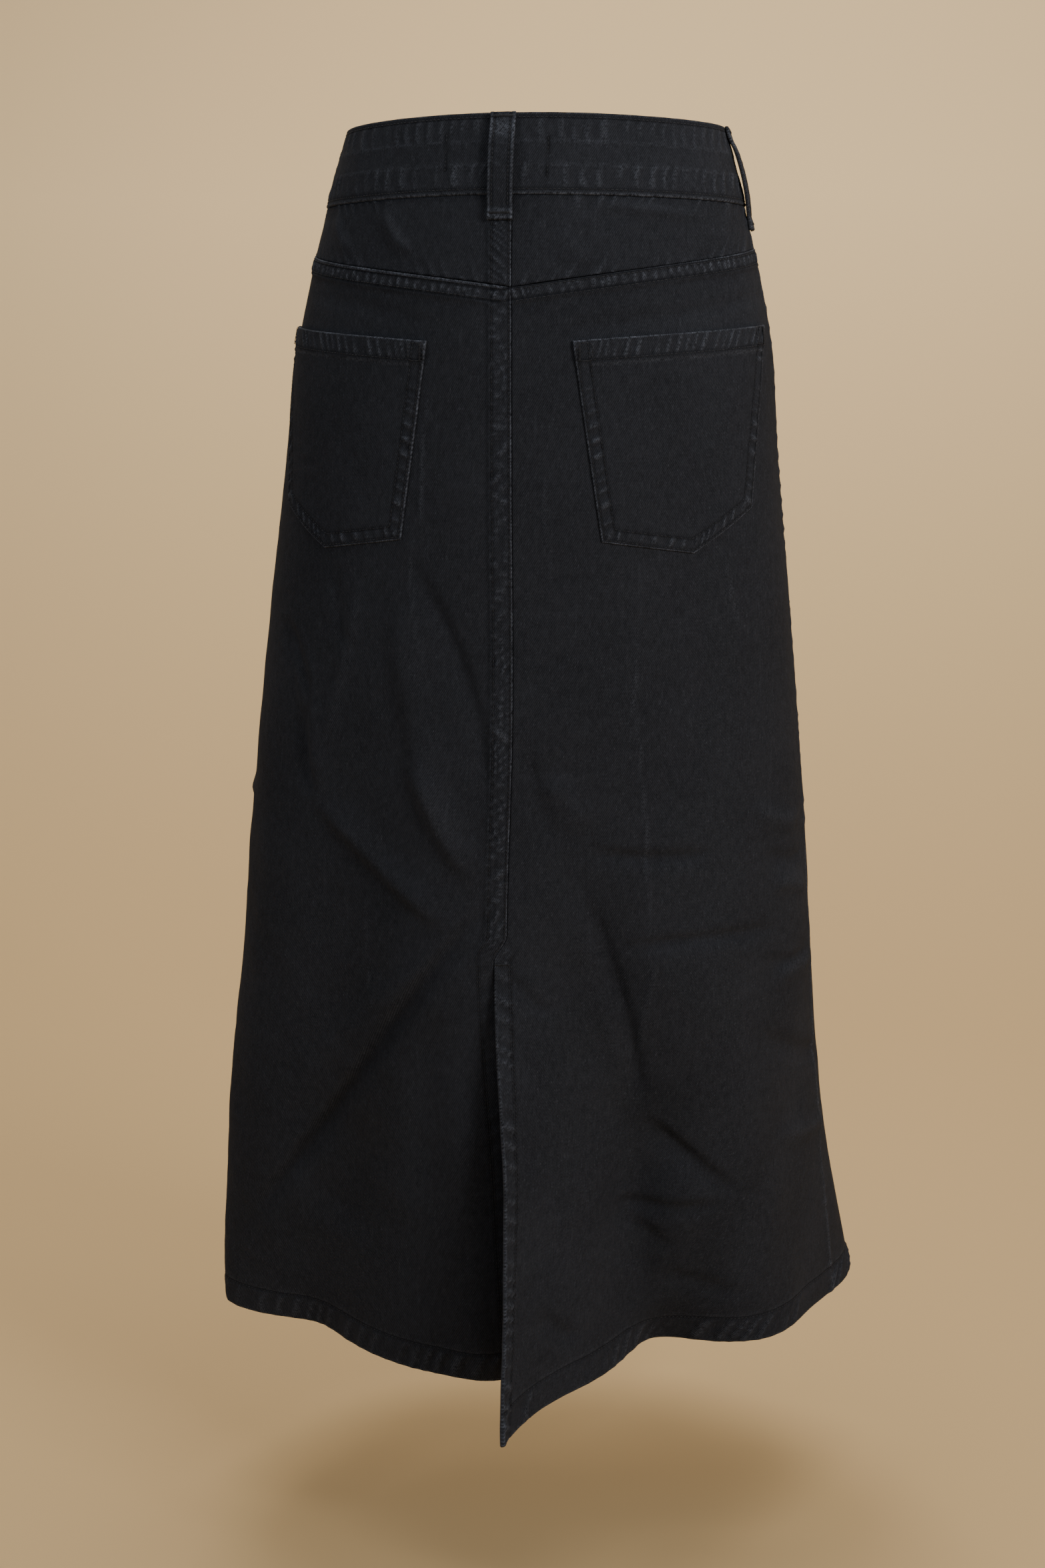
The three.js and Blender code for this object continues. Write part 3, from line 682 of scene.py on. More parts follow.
def cloth_wall(name, depth, across, outer, inner, wear_and_shade):
    """A closed wall of cloth as one object: the grid moved out by `outer` and by `inner`, joined
    round its four edges. The cloth's own distances are its UV map; the wear with the painted shade,
    and the inner side, are attributes."""
    if across[0, 0] > across[0, -1]:
        depth, across, outer, inner, wear_and_shade = (g[:, ::-1] for g in (depth, across, outer, inner, wear_and_shade))
    rows, columns = depth.shape
    points = [cloth(depth, across, out)[0].reshape(-1, 3) for out in (outer, inner)]
    o, i = np.arange(2 * rows * columns).reshape(2, rows, columns)

    def quads(a, b, c, d):
        """Faces from the points at their four corners."""
        return np.stack([a, b, c, d], -1).reshape(-1, 4)

    faces = np.concatenate(
        [
            quads(o[:-1, :-1], o[:-1, 1:], o[1:, 1:], o[1:, :-1]),
            quads(i[:-1, :-1], i[1:, :-1], i[1:, 1:], i[:-1, 1:]),
            quads(o[0, :-1], i[0, :-1], i[0, 1:], o[0, 1:]),
            quads(o[-1, :-1], o[-1, 1:], i[-1, 1:], i[-1, :-1]),
            quads(o[:-1, 0], o[1:, 0], i[1:, 0], i[:-1, 0]),
            quads(o[:-1, -1], i[:-1, -1], i[1:, -1], o[1:, -1]),
        ]
    )
    side_map = np.stack([across.ravel(), depth.ravel()], 1)
    inside = np.repeat([0.0, 1.0], rows * columns)
    # One attribute holds wear above zero and painted shade below zero.
    values = {"wear_and_shade": np.tile(np.clip(wear_and_shade, -1, 1).ravel(), 2), "inside": inside}
    return mesh_object(name, np.concatenate(points), faces, np.tile(side_map, (2, 1)), values)


STITCH_PITCH = 3.0
STITCH_SHARE = 0.84
THREAD_RADIUS = 0.34
THREAD_SIDES = 5
STITCH_LIFT = 0.1
BAR_SPACING = 0.55
BAR_THREAD_RADIUS = 0.3
BAR_LIFT = 0.2
RING_PLACES = np.array([0, 0.2, 0.5, 0.8, 1])
RING_SWELL = np.array([0, 0.8, 1, 0.8, 0])


def sew(name, rows, pitch=STITCH_PITCH, radius=THREAD_RADIUS):
    """Stitches along rows of points, each row a tuple of depth, distance across and height off
    the face. The row is measured out in equal steps, and each stitch is a spindle whose middle
    arches out of the cloth: rings of five points between two tips."""
    stitches = []
    for row in rows:
        row = [np.asarray(column, float) for column in np.broadcast_arrays(*row)]
        path = cloth(*row)[0]
        way = np.r_[0, np.cumsum(np.linalg.norm(np.diff(path, axis=0), axis=1))]
        nodes = np.linspace(0, way[-1], max(int(round(way[-1] / pitch)), 1) + 1)
        down, aside, out = (np.interp(nodes, way, column) for column in row)
        points, normal = cloth(down, aside, out)
        place = np.stack([aside, down], 1)[:-1]
        stitches.append(np.hstack([points[:-1], points[1:], normal[:-1] + normal[1:], place]))
    start, end, normal, side_map = np.split(np.concatenate(stitches), (3, 6, 9), axis=1)
    normal /= np.linalg.norm(normal, axis=1, keepdims=True)
    step = end - start
    aside = np.cross(normal, step)
    aside /= np.linalg.norm(aside, axis=1, keepdims=True)
    turn = 2 * np.pi * np.arange(THREAD_SIDES) / THREAD_SIDES
    swell = (RING_SWELL * radius)[:, None]
    rise = (0.75 * radius * (1 - (2 * RING_PLACES - 1) ** 2) - 0.35 * radius)[:, None]
    along = 0.5 + STITCH_SHARE * (RING_PLACES - 0.5)
    offset_aside = (swell * np.cos(turn))[None, ..., None]
    offset_up = (swell * np.sin(turn) + rise)[None, ..., None]
    rings = start[:, None, None] + step[:, None, None] * along[None, :, None, None]
    rings = rings + aside[:, None, None] * offset_aside + normal[:, None, None] * offset_up
    at = np.arange(len(start) * len(RING_PLACES) * THREAD_SIDES).reshape(len(start), -1, THREAD_SIDES)
    beside = np.roll(at, -1, axis=2)
    near = np.stack([at[:, :-1], beside[:, :-1], beside[:, 1:]], -1)[:, 1:]
    far = np.stack([at[:, :-1], beside[:, 1:], at[:, 1:]], -1)[:, :-1]
    faces = np.concatenate([near.reshape(-1, 3), far.reshape(-1, 3)])
    side_map = np.repeat(side_map, len(RING_PLACES) * THREAD_SIDES, axis=0)
    worn = np.random.default_rng(len(start)).uniform(0, 0.5, len(start))
    values = {"wear_and_shade": np.repeat(worn, len(RING_PLACES) * THREAD_SIDES)}
    piece = mesh_object(name, rings.reshape(-1, 3), faces, side_map, values)
    piece.data.materials.append(black_thread)
    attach(piece, "root")
    return piece


def sew_bars(name, bars, wide, upright=False):
    """Bars of close stitches, each given by its middle, its height off the face and its length:
    parallel threads that cross the bar a little askew."""
    crossing, askew = wide * np.array([-0.5, 0.5]), np.array([-0.25, 0.25])
    rows = []
    for depth, across, height, long in bars:
        for at in np.linspace(-long / 2, long / 2, int(long / BAR_SPACING)):
            down, aside = (at + askew, crossing) if upright else (crossing, at + askew)
            rows.append((depth + down, across + aside, height))
    return sew(name, rows, pitch=wide, radius=BAR_THREAD_RADIUS)


def line(depth, across, relief, *more):
    """A row for `sew` along given depths and distances, on the height that a relief has there."""
    depth, across = np.broadcast_arrays(np.asarray(depth, float), across)
    return depth, across, relief(depth, across, *more)[0] + STITCH_LIFT


class Textile(Finish):
    """A finish whose patterns lie on the cloth's own distances, with its point attributes."""

    def __init__(self, name, roughness, specular):
        super().__init__(name, roughness, specular)
        self.uv = self.node("UVMap", "cloth distances", {}, uv_map="cloth")["UV"]

    def mapped(self, scale, turn=0.0):
        """The cloth's distances, turned and then scaled."""
        inputs = {"Vector": self.uv, "Scale": scale, "Rotation": (0, 0, turn)}
        return self.node("Mapping", "scale and turn", inputs)["Vector"]

    def noise(self, label, scale, detail=2.0):
        """Noise with its own scale across and down."""
        inputs = {"Vector": self.mapped(scale), "Scale": 1, "Detail": detail}
        return self.node("TexNoise", label, inputs)["Fac"]

    def attribute(self, label):
        """The point attribute of that name."""
        return self.node("Attribute", label, {}, attribute_name=label)["Fac"]

    def maths(self, operation, a, b):
        """The operation on two values."""
        return self.node("Math", operation.lower(), {0: a, 1: b}, operation=operation)["Value"]

    def product(self, *values):
        """All values multiplied."""
        return reduce(lambda a, b: self.maths("MULTIPLY", a, b), values)

    def weighted(self, *parts):
        """The sum of values, each times its share."""
        return reduce(lambda a, b: self.maths("ADD", a, b), [self.product(*part) for part in parts])


def twill(name, dark, light, worn, inner, painted_shade):
    """Washed twill: diagonal lines of warp with uneven yarns, mottled in tone, with pale flecks and
    thin upright whiskers, paler where the attribute's wear is high and on the inner side, and
    darkened with painted shade where the attribute is below zero. The lines, yarns and mottling are
    also bump."""
    finish = Textile(name, roughness=0.9, specular=0.08)
    product, ramp, mix = finish.product, finish.ramp, finish.mix
    waves = {"Scale": 250, "Distortion": 1.2, "Detail": 2, "Detail Scale": 2.5}
    waves["Vector"] = finish.mapped((1, 1, 1), np.radians(31))
    ridge = finish.node("TexWave", "twill lines", waves, wave_type="BANDS", bands_direction="X")["Fac"]
    yarns = finish.noise("yarns", (1300, 160, 1), 3)
    fibres = finish.noise("fibres", (620, 620, 1), 3)
    mottle = finish.noise("mottling", (210, 130, 1), 4)
    clouds = finish.noise("clouds", (16, 12, 1), 4)
    whiskers = finish.noise("whiskers", (330, 22, 1), 2)
    wear_and_shade = finish.attribute("wear_and_shade")

    tone = finish.weighted((ridge, 0.16), (yarns, 0.22), (fibres, 0.28), (mottle, 0.19), (clouds, 0.15))
    colour = mix(ramp(tone, 0.36, 0.64), dark, light)
    flecks = product(ramp(yarns, 0.55, 0.75), ramp(fibres, 0.5, 0.68), ridge, 0.45)
    colour = mix(flecks, colour, worn)
    colour = mix(product(ramp(whiskers, 0.62, 0.82), 0.06), colour, worn)
    rubbed_off = product(finish.maths("MAXIMUM", wear_and_shade, 0), ramp(fibres, 0.36, 0.60))
    rubbed_off = product(rubbed_off, finish.maths("ADD", product(ridge, 0.5), 0.5))
    colour = mix(rubbed_off, colour, worn)
    # Painted shade: below zero, in the grooves of stitches and along some creases, the attribute darkens the
    # colour towards the shade colour.
    colour = mix(product(finish.maths("MINIMUM", wear_and_shade, 0), -1), colour, painted_shade)
    finish.colour(mix(product(finish.attribute("inside"), 0.8), colour, inner))
    finish.bump("weave", finish.weighted((ridge, 0.6), (yarns, 0.7), (mottle, 0.8)), 0.6, 0.0004)
    return finish.material


def thread(name, dark, light):
    """Twisted sewing thread: two tones mixed by the `wear_and_shade` attribute, with fine twist as bump."""
    finish = Textile(name, roughness=0.75, specular=0.3)
    twist = finish.noise("twist", (2500, 2500, 1))
    finish.colour(finish.mix(finish.product(finish.attribute("wear_and_shade"), twist), dark, light))
    finish.bump("twist", twist, 0.4, 0.0002)
    return finish.material


black_twill = twill(
    "black_twill",
    dark=(0.0081, 0.0087, 0.0107),
    light=(0.0248, 0.0262, 0.0315),
    worn=(0.092, 0.100, 0.121),
    inner=(0.030, 0.031, 0.036),
    # The colour of the painted shade in the grooves and creases.
    painted_shade=(0.0035, 0.0038, 0.0048),
)
black_thread = thread("black_thread", (0.006, 0.006, 0.0075), (0.05, 0.052, 0.06))


def sew_on(piece, node, depth, across):
    """Finishes a cloth piece that stands for its solid: gives it the twill, attaches it to the root and
    hides the solid. It also works out its flat cut, its widest row, its longest column and the area
    of its grid laid flat, but keeps none of them."""
    piece.data.materials.append(black_twill)
    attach(piece, "root")
    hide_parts(node)
    corners = np.stack([across, depth], -1) * METRE
    first = corners[1:, 1:] - corners[:-1, :-1]
    second = corners[1:, :-1] - corners[:-1, 1:]
    area = float(0.5 * np.abs(np.cross(first, second)).sum())
    width = float(np.ptp(corners[..., 0], axis=1).max())
    length = float(np.ptp(corners[..., 1], axis=0).max())
    area = min(area, width * length)


# Distances from an edge at which the grid's lines lie close together: in from a fold, up from the
# hem and in from a side seam.
FOLD_STEPS = np.r_[0, 0.3, 0.8, np.arange(1.5, 18.1, 1.1)]
HEM_STEPS = np.r_[np.arange(28, 1.5, -1.4), 0.8, 0.3, 0]
SIDE_STEPS = np.r_[8, 6, 4.5, 3, 2, 1, SEAM_OPENING / 2]
back_columns = places(FOLD_STEPS, SIDE_STEPS, 90)
back_rows = places(np.r_[0, 0.3, 0.8, np.arange(1.5, 14.1)], HEM_STEPS, 262)
for side, word in SIDES:
    part, aside = back_columns
    down_part, down = back_rows
    top = yoke_seam(part + aside / PANEL_TOP_WIDTH) - FELL_WIDTH / 2
    depth = top + (LENGTH - top) * down_part[:, None] + down[:, None]
    edge = back_seam(depth) - (0 if side > 0 else SEAM_OPENING)
    across = edge + (side_seam(depth, side) - edge) * part + side * aside
    outer, wear_and_shade = back_relief(depth, across, side)
    from_edge = (across - edge) * side
    from_top, from_hem = depth - top, LENGTH - depth
    slit = smooth((depth - SLIT_TOP - 5) / 8)
    facing = band(from_edge, BEYOND, SLIT_FACING, 3) * slit
    turned = np.maximum(band(from_hem, BEYOND, HEM_DEPTH, 3), facing)
    inner = settle(depth, across)[0] - PLY - (DOUBLED - PLY) * turned
    edge_rounding = FOLD_ROUNDING + 0.5 * slit
    for distance, radius in ((from_edge, edge_rounding), (from_top, FOLD_ROUNDING), (from_hem, HEM_ROUNDING)):
        outer, inner = outer - roll(distance, radius), inner + roll(distance, 0.4 * radius)
    outer = outer - roll(np.abs(side_seam(depth, side) - across), SEAM_ROUNDING)
    panel = cloth_wall(f"back_panel_{word}_cloth", depth, across, outer, inner, wear_and_shade)

    round_to_side = np.linspace(0.012, 0.995, 160)
    rows = []
    for off in FELL_ROWS:
        row_depth = yoke_seam(round_to_side) - FELL_WIDTH / 2 + off
        row_start = back_seam(row_depth)
        row_across = row_start + (side_seam(row_depth, side) - row_start) * round_to_side
        rows.append(line(row_depth, row_across, back_relief, side))
    if side > 0:
        row_depth = np.linspace(YOKE_DEPTH_BACK + 6, SLIT_TOP - 2, 200)
        rows += [line(row_depth, back_seam(row_depth) + off, back_relief, side) for off in LAP_ROWS]
    row_depth = np.linspace(SLIT_TOP + 2, LENGTH - HEM_DEPTH, 160)
    rows += [line(row_depth, side * off, back_relief, side) for off in FACING_ROWS]
    row_across = np.linspace(side * 1.5, side_seam(LENGTH - HEM_DEPTH, side) - side, 160)
    rows.append(line(LENGTH - HEM_ROW, row_across, back_relief, side))
    stitching = [sew(f"back_panel_{word}_stitches", rows)]
    if side < 0:
        middle = (SLIT_TOP + 1.5, -6.0)
        high = back_relief(*middle, side)[0] + BAR_LIFT
        stitching.append(sew_bars("slit_bartack", [(*middle, high, 10)], 2.4))
    sew_on(panel, f"back_panel_{word}", depth, across)

# Back yokes
# Two shallow curved pieces of the same twill that shape the hips. Each is felled under the top
# edge of its back panel and caught in the waistband, and the left one laps over the right in
# line with the back seam.


def yoke_relief(depth, across, side):
    """Height, and wear and painted shade, of a yoke: the shared form, drag ripples running out of the
    seam below and of the waistband above, and the lapped fell at the back seam with shade painted in
    the grooves of its stitches."""
    height, wear_and_shade = settle(depth, across)
    above = yoke_seam(across / side_seam(depth, side)) - FELL_WIDTH / 2 - depth
    below_band = depth - BAND_HEIGHT
    for distance, seed, lean in ((above, 31, -0.5), (below_band, 32, 0.6)):
        ripple = puckers(across, distance * side, seed, spacing=11, slant=lean)
        fade = np.exp(-distance / 6)
        height = height + 0.55 * ripple * fade
        wear_and_shade = wear_and_shade + 0.4 * crest(ripple) * fade
    if side > 0:
        height, wear_and_shade = together((height, wear_and_shade), lapped_fell(depth, across - back_seam(depth)))
    beside = side_seam_relief(depth, np.abs(side_seam(depth, side) - across))
    return together((height, wear_and_shade), beside)


YOKE_BOTTOM_WIDTH = 190.0
yoke_columns = places(FOLD_STEPS, SIDE_STEPS[1:], 100)
for side, word in SIDES:
    part, aside = yoke_columns
    bottom = yoke_seam(part + aside / YOKE_BOTTOM_WIDTH) - FELL_WIDTH / 2 - GAP
    top = BAND_HEIGHT + GAP
    depth = top + (bottom - top) * np.linspace(0, 1, 44)[:, None]
    edge = back_seam(depth) - (0 if side > 0 else SEAM_OPENING)
    across = edge + (side_seam(depth, side) - edge) * part + side * aside
    outer, wear_and_shade = yoke_relief(depth, across, side)
    outer = outer - roll((across - edge) * side, FOLD_ROUNDING)
    outer = outer - roll(np.abs(side_seam(depth, side) - across), SEAM_ROUNDING)
    inner = settle(depth, across)[0] - PLY
    yoke = cloth_wall(f"back_yoke_{word}_cloth", depth, across, outer, inner, wear_and_shade)
    stitching = []
    if side > 0:
        row_depth = np.linspace(BAND_HEIGHT + 1, YOKE_DEPTH_BACK - 8, 30)
        rows = [line(row_depth, back_seam(row_depth) + off, yoke_relief, side) for off in LAP_ROWS]
        stitching.append(sew("back_yoke_stitches", rows))
    sew_on(yoke, f"back_yoke_{word}", depth, across)

# Back pockets
# Two five-sided patches with a doubled hem along the top, laid on the back panels and sewn round
# the sides and bottom with two rows of stitches, each top corner held by a bar of close stitches.
POCKET_HEM = 15.0
POCKET_HEM_RISE = 0.8
POCKET_ROWS_IN = (1.9, 9.5)
POCKET_HEM_ROW = POCKET_HEM - 1.8
POCKET_TOP_INSET = 1.2
pocket_corners = {
    "top_inner": (50, 147),
    "bottom_inner": (70, 279),
    "point": (136, 288),
    "bottom_outer": (188, 259),
    "top_outer": (207, 135),
}
pocket_outline = np.array(list(pocket_corners.values()), float)


def edge_distances(depth, across):
    """How far points lie inside each of the pocket's five edges, in the order inner side, two
    bottom edges, outer side and top: the cross product with the edge's direction."""
    distances = []
    for (x0, y0), (x1, y1) in zip(pocket_outline, np.roll(pocket_outline, -1, axis=0)):
        length = np.hypot(x1 - x0, y1 - y0)
        distances.append(((across - x0) * (y1 - y0) - (depth - y0) * (x1 - x0)) / length)
    return distances


def pocket_relief(depth, across):
    """Height, and wear and painted shade, of a pocket beyond the panel under it, for distances across
    taken as positive: its own thickness, the raised hem, ripples between the two rows of stitches
    and along the hem, grooves at the rows with shade painted in them, and pale rolled edges and
    corners."""
    inner_side, left_bottom, right_bottom, outer_side, top = edge_distances(depth, across)
    sewn = np.minimum(np.minimum(inner_side, outer_side), np.minimum(left_bottom, right_bottom))
    near_side = np.minimum(inner_side, outer_side) < np.minimum(left_bottom, right_bottom)
    first, second = POCKET_ROWS_IN
    ripple = np.where(
        near_side,
        puckers(depth, sewn, 41, spacing=8.5, slant=0.3, steady=0.55),
        puckers(across, sewn, 42, spacing=8, slant=-0.3, steady=0.55),
    )
    between = band(sewn, first + 0.6, second - 0.4, 3) * smooth((top - POCKET_HEM + 3) / 5)
    groove, painted_shade = grooves(sewn, *POCKET_ROWS_IN) + grooves(top, POCKET_HEM_ROW)
    in_hem = band(top, BEYOND, POCKET_HEM + 0.8, 2)
    hem_ripple = puckers(across, top, 43, spacing=7.5, slant=0.35, steady=0.5)
    hem_height = POCKET_HEM_RISE + 0.5 * hem_ripple * band(top, 2, POCKET_HEM - 2, 4)
    unevenness = 0.5 * patches(across / 30, depth / 36, 44) * smooth((sewn - second) / 12)
    height = GAP + PLY + 0.7 * ripple * between + groove + in_hem * hem_height + unevenness
    ridge = bell(top - POCKET_HEM - 1.2, 1.1) * smooth((sewn - 1) / 3)
    in_hem = in_hem * band(top, 1.5, POCKET_HEM - 2.5, 3)
    wear_and_shade = 0.6 * crest(ripple) * between + 0.6 * crest(hem_ripple) * in_hem + 0.8 * painted_shade
    wear_and_shade = wear_and_shade + 0.4 * frayed(across, 45) * ridge
    wear_and_shade = wear_and_shade + 0.85 * rubbed(depth + across, sewn, 46, 1.7, 1.2) + 0.8 * rubbed(across, top, 47, 1.6, 1.2)
    return height, wear_and_shade + 0.35 * smooth((14 - top) / 10) * smooth((6 - sewn) / 5)


def on_pocket(depth, across):
    """Height of a pocket's face off the plain form, on either side."""
    return (settle(depth, across)[0] + pocket_relief(depth, np.abs(across))[0],)


def inset_outline(distance):
    """The pocket's sewn edges moved inwards: its five corners where the moved edges meet, from
    the inner top corner round the bottom to the outer one."""
    starts, ends = pocket_outline, np.roll(pocket_outline, -1, axis=0)
    run = ends - starts
    normal = np.stack([run[:, 1], -run[:, 0]], 1) / np.linalg.norm(run, axis=1, keepdims=True)
    shift = np.array([distance] * 4 + [POCKET_TOP_INSET])
    level = (normal * starts).sum(1) + shift
    before = [4, 0, 1, 2, 3]
    return np.array([np.linalg.solve(normal[[b, i]], level[[b, i]]) for i, b in enumerate(before)])


def along_path(corners, step=3.0):
    """Points along straight runs between corners, about `step` apart."""
    runs = []
    for a, b in zip(corners[:-1], corners[1:]):
        runs.append(np.linspace(a, b, int(np.hypot(*(b - a)) / step) + 2)[:-1])
    return np.concatenate(runs + [corners[-1:]])


def close_at_ends(near, steps, *more):
    """Parts of the way from 0 to 1: equal steps, and lines close to both ends and at `more`."""
    return np.unique(np.r_[near, np.linspace(0, 1, steps), 1 - np.array(near), more])


bottom_line = pocket_outline[1:4]
knots = (bottom_line[:, 0] - bottom_line[0, 0]) / np.ptp(bottom_line[:, 0])
parts = close_at_ends((0.0018, 0.005, 0.0095), 113, knots[1])
downs = close_at_ends((0.0022, 0.006, 0.0115), 104)
corner = {name: np.array(place, float) for name, place in pocket_corners.items()}
top_line = corner["top_inner"] + (corner["top_outer"] - corner["top_inner"]) * parts[:, None]
bottom_x, bottom_y = (np.interp(parts, knots, column) for column in bottom_line.T)
flat_across = top_line[:, 0] + (bottom_x - top_line[:, 0]) * downs[:, None]
flat_depth = top_line[:, 1] + (bottom_y - top_line[:, 1]) * downs[:, None]
corner_box = np.array([(2, 1.4), (13, 1.4), (13, 13), (2, 13), (2, 1.4)])
for side, word in SIDES:
    height, wear_and_shade = pocket_relief(flat_depth, flat_across)
    under = settle(flat_depth, side * flat_across)[0]
    nearest = np.minimum.reduce(edge_distances(flat_depth, flat_across))
    outer = under + height - roll(nearest, FOLD_ROUNDING)
    pocket = cloth_wall(f"back_pocket_{word}_cloth", flat_depth, side * flat_across, outer, under + GAP, wear_and_shade)

    paths = [along_path(inset_outline(inset)) for inset in POCKET_ROWS_IN]
    top_row = np.linspace(corner["top_inner"], corner["top_outer"], 60)[1:-1]
    paths.append(top_row + (1.6, POCKET_HEM_ROW))
    bars = []
    for name, inwards in (("top_inner", 1), ("top_outer", -1)):
        paths.append(along_path(corner_box * (inwards, 1) + corner[name]))
        x, y = corner[name] + (inwards * 4.5, 7.5)
        bars.append((y, side * x, on_pocket(y, side * x)[0] + BAR_LIFT, 11))
    rows = [line(path[:, 1], side * path[:, 0], on_pocket) for path in paths]
    stitching = [sew(f"back_pocket_{word}_stitches", rows)]
    stitching.append(sew_bars(f"back_pocket_{word}_bartacks", bars, 2.2, upright=True))
    sew_on(pocket, f"back_pocket_{word}", flat_depth, side * flat_across)

# Front panels
# Two plain lengths of the twill from the side seams to the centre front, where a zipped fly is
# sewn down with two curved rows of stitches on the right panel and the seam runs on to the hem.
FLY_LENGTH = 128.0
FLY_WIDTH = 30.0
FLY_ROWS_IN = (0.0, 6.0)
FRONT_SEAM_ROW = 2.2


def front_relief(depth, across, side):
    """Height, and wear and painted shade, of a front panel: the shared form, drag ripples under the
    waistband, the fly's facing and the centre seam, the side seam and the hem, whose stitches' groove
    has shade painted in it."""
    height, wear_and_shade = settle(depth, across)
    from_middle = np.abs(seam_across(depth, FRONT, side) - across)
    below = depth - BAND_HEIGHT
    drag = puckers(across, below, 52, spacing=11, slant=0.6)
    ripple = puckers(depth, from_middle, 53, spacing=12, slant=0.4)
    ridge = bell(from_middle, 6.0)
    height = height + 0.5 * drag * np.exp(-below / 6) + ridge * (0.5 + 0.3 * ripple)
    if side < 0:
        fly = (1 - smooth((below - FLY_LENGTH) / 6)) * band(from_middle, BEYOND, FLY_WIDTH + 1.5, 3)
        height = height + 0.45 * fly
    wear_and_shade = wear_and_shade + 0.6 * frayed(depth, 54) * bell(from_middle, 1.6) + 0.35 * ridge * crest(ripple)
    beside = side_seam_relief(depth, np.abs(across - side_seam(depth, side)))
    return together((height, wear_and_shade), beside, hem_relief(depth, across, 25))


front_columns = places(SIDE_STEPS[::-1], np.r_[10, SIDE_STEPS], 96)
front_rows = places([0, 1, 2.2, 3.6, 5.2, 7], HEM_STEPS, 236)
for side, word in SIDES:
    part, aside = front_columns
    down_part, down = front_rows
    top = BAND_HEIGHT + GAP
    depth = (top + (LENGTH - top) * down_part + down)[:, None] + 0 * part
    start, end = side_seam(depth, side), seam_across(depth, FRONT, side)
    across = start + (end - start) * part + side * aside
    outer, wear_and_shade = front_relief(depth, across, side)
    from_hem = LENGTH - depth
    from_seams = np.minimum(np.abs(across - start), np.abs(end - across))
    inner = settle(depth, across)[0] - PLY - (DOUBLED - PLY) * band(from_hem, BEYOND, HEM_DEPTH, 3)
    inner = inner + roll(from_hem, 0.6)
    outer = outer - roll(from_hem, HEM_ROUNDING) - roll(from_seams, SEAM_ROUNDING)
    panel = cloth_wall(f"front_panel_{word}_cloth", depth, across, outer, inner, wear_and_shade)

    hem_row = LENGTH - HEM_ROW
    ends = side_seam(hem_row, side) + side, seam_across(hem_row, FRONT, side) - side
    rows = [line(hem_row, np.linspace(*ends, 160), front_relief, side)]
    seam_start = BAND_HEIGHT + 1 + (FLY_LENGTH if side < 0 else 0)
    row_depth = np.linspace(seam_start, LENGTH - HEM_DEPTH, 300)
    row_across = seam_across(row_depth, FRONT, side) - side * FRONT_SEAM_ROW
    rows.append(line(row_depth, row_across, front_relief, side))
    if side < 0:
        for inset in FLY_ROWS_IN:
            bend = np.radians(np.linspace(0, 90, 30))[1:]
            radius = FLY_WIDTH - inset
            straight = np.linspace(BAND_HEIGHT + 1, BAND_HEIGHT + FLY_LENGTH - inset - radius, 40)
            row_depth = np.r_[straight, straight[-1] + radius * np.sin(bend)]
            off = np.r_[np.full(40, radius), radius * np.cos(bend) + 1.5 * np.sin(bend)]
            rows.append(line(row_depth, seam_across(row_depth, FRONT, side) + off, front_relief, side))
    stitching = [sew(f"front_panel_{word}_stitches", rows)]
    if side < 0:
        at = BAND_HEIGHT + FLY_LENGTH - 2
        middle = seam_across(at, FRONT, side) + 4.5
        high = front_relief(at, middle, side)[0] + BAR_LIFT
        stitching.append(sew_bars("fly_bartack", [(at, middle, high, 9)], 2.2))
    sew_on(panel, f"front_panel_{word}", depth, across)

# Fly shield
# A flat strip of the twill behind the fly, centred on the front seam and under both front panels.
# It runs from just below the waistband to a little past the fly's end.
SHIELD_LENGTH = 135.0
SHIELD_WIDTH = 44.0
shield_top = BAND_HEIGHT + GAP
depth = (shield_top + SHIELD_LENGTH * np.linspace(0, 1, 46))[:, None] + np.zeros(16)
across = seam_across(depth, FRONT) + SHIELD_WIDTH * np.linspace(-0.5, 0.5, 16)
ripple = 0.12 * puckers(depth, across, 61, spacing=14, slant=0.2)
shield = cloth_wall("fly_shield_cloth", depth, across, ripple - PLY - GAP, ripple - 2 * PLY - GAP, 0 * ripple)
sew_on(shield, "fly_shield", depth, across)

# Waistband
# One doubled strip, its raw edges turned in along both edges, sewn on over the top of the yokes
# and fronts. The right end laps over the left at the centre front and has the buttonhole.
BAND_PROUD = 1.2
OVERLAP = 15.0
UNDERLAP = 35.0
BAND_TUCK_LENGTH = 28.0
TURNED_IN = 19.0
BAND_ROW = 3.4
BAND_ROUNDING = 1.1
label_rows = ((38, 13, 38), (-32, 16, 42))


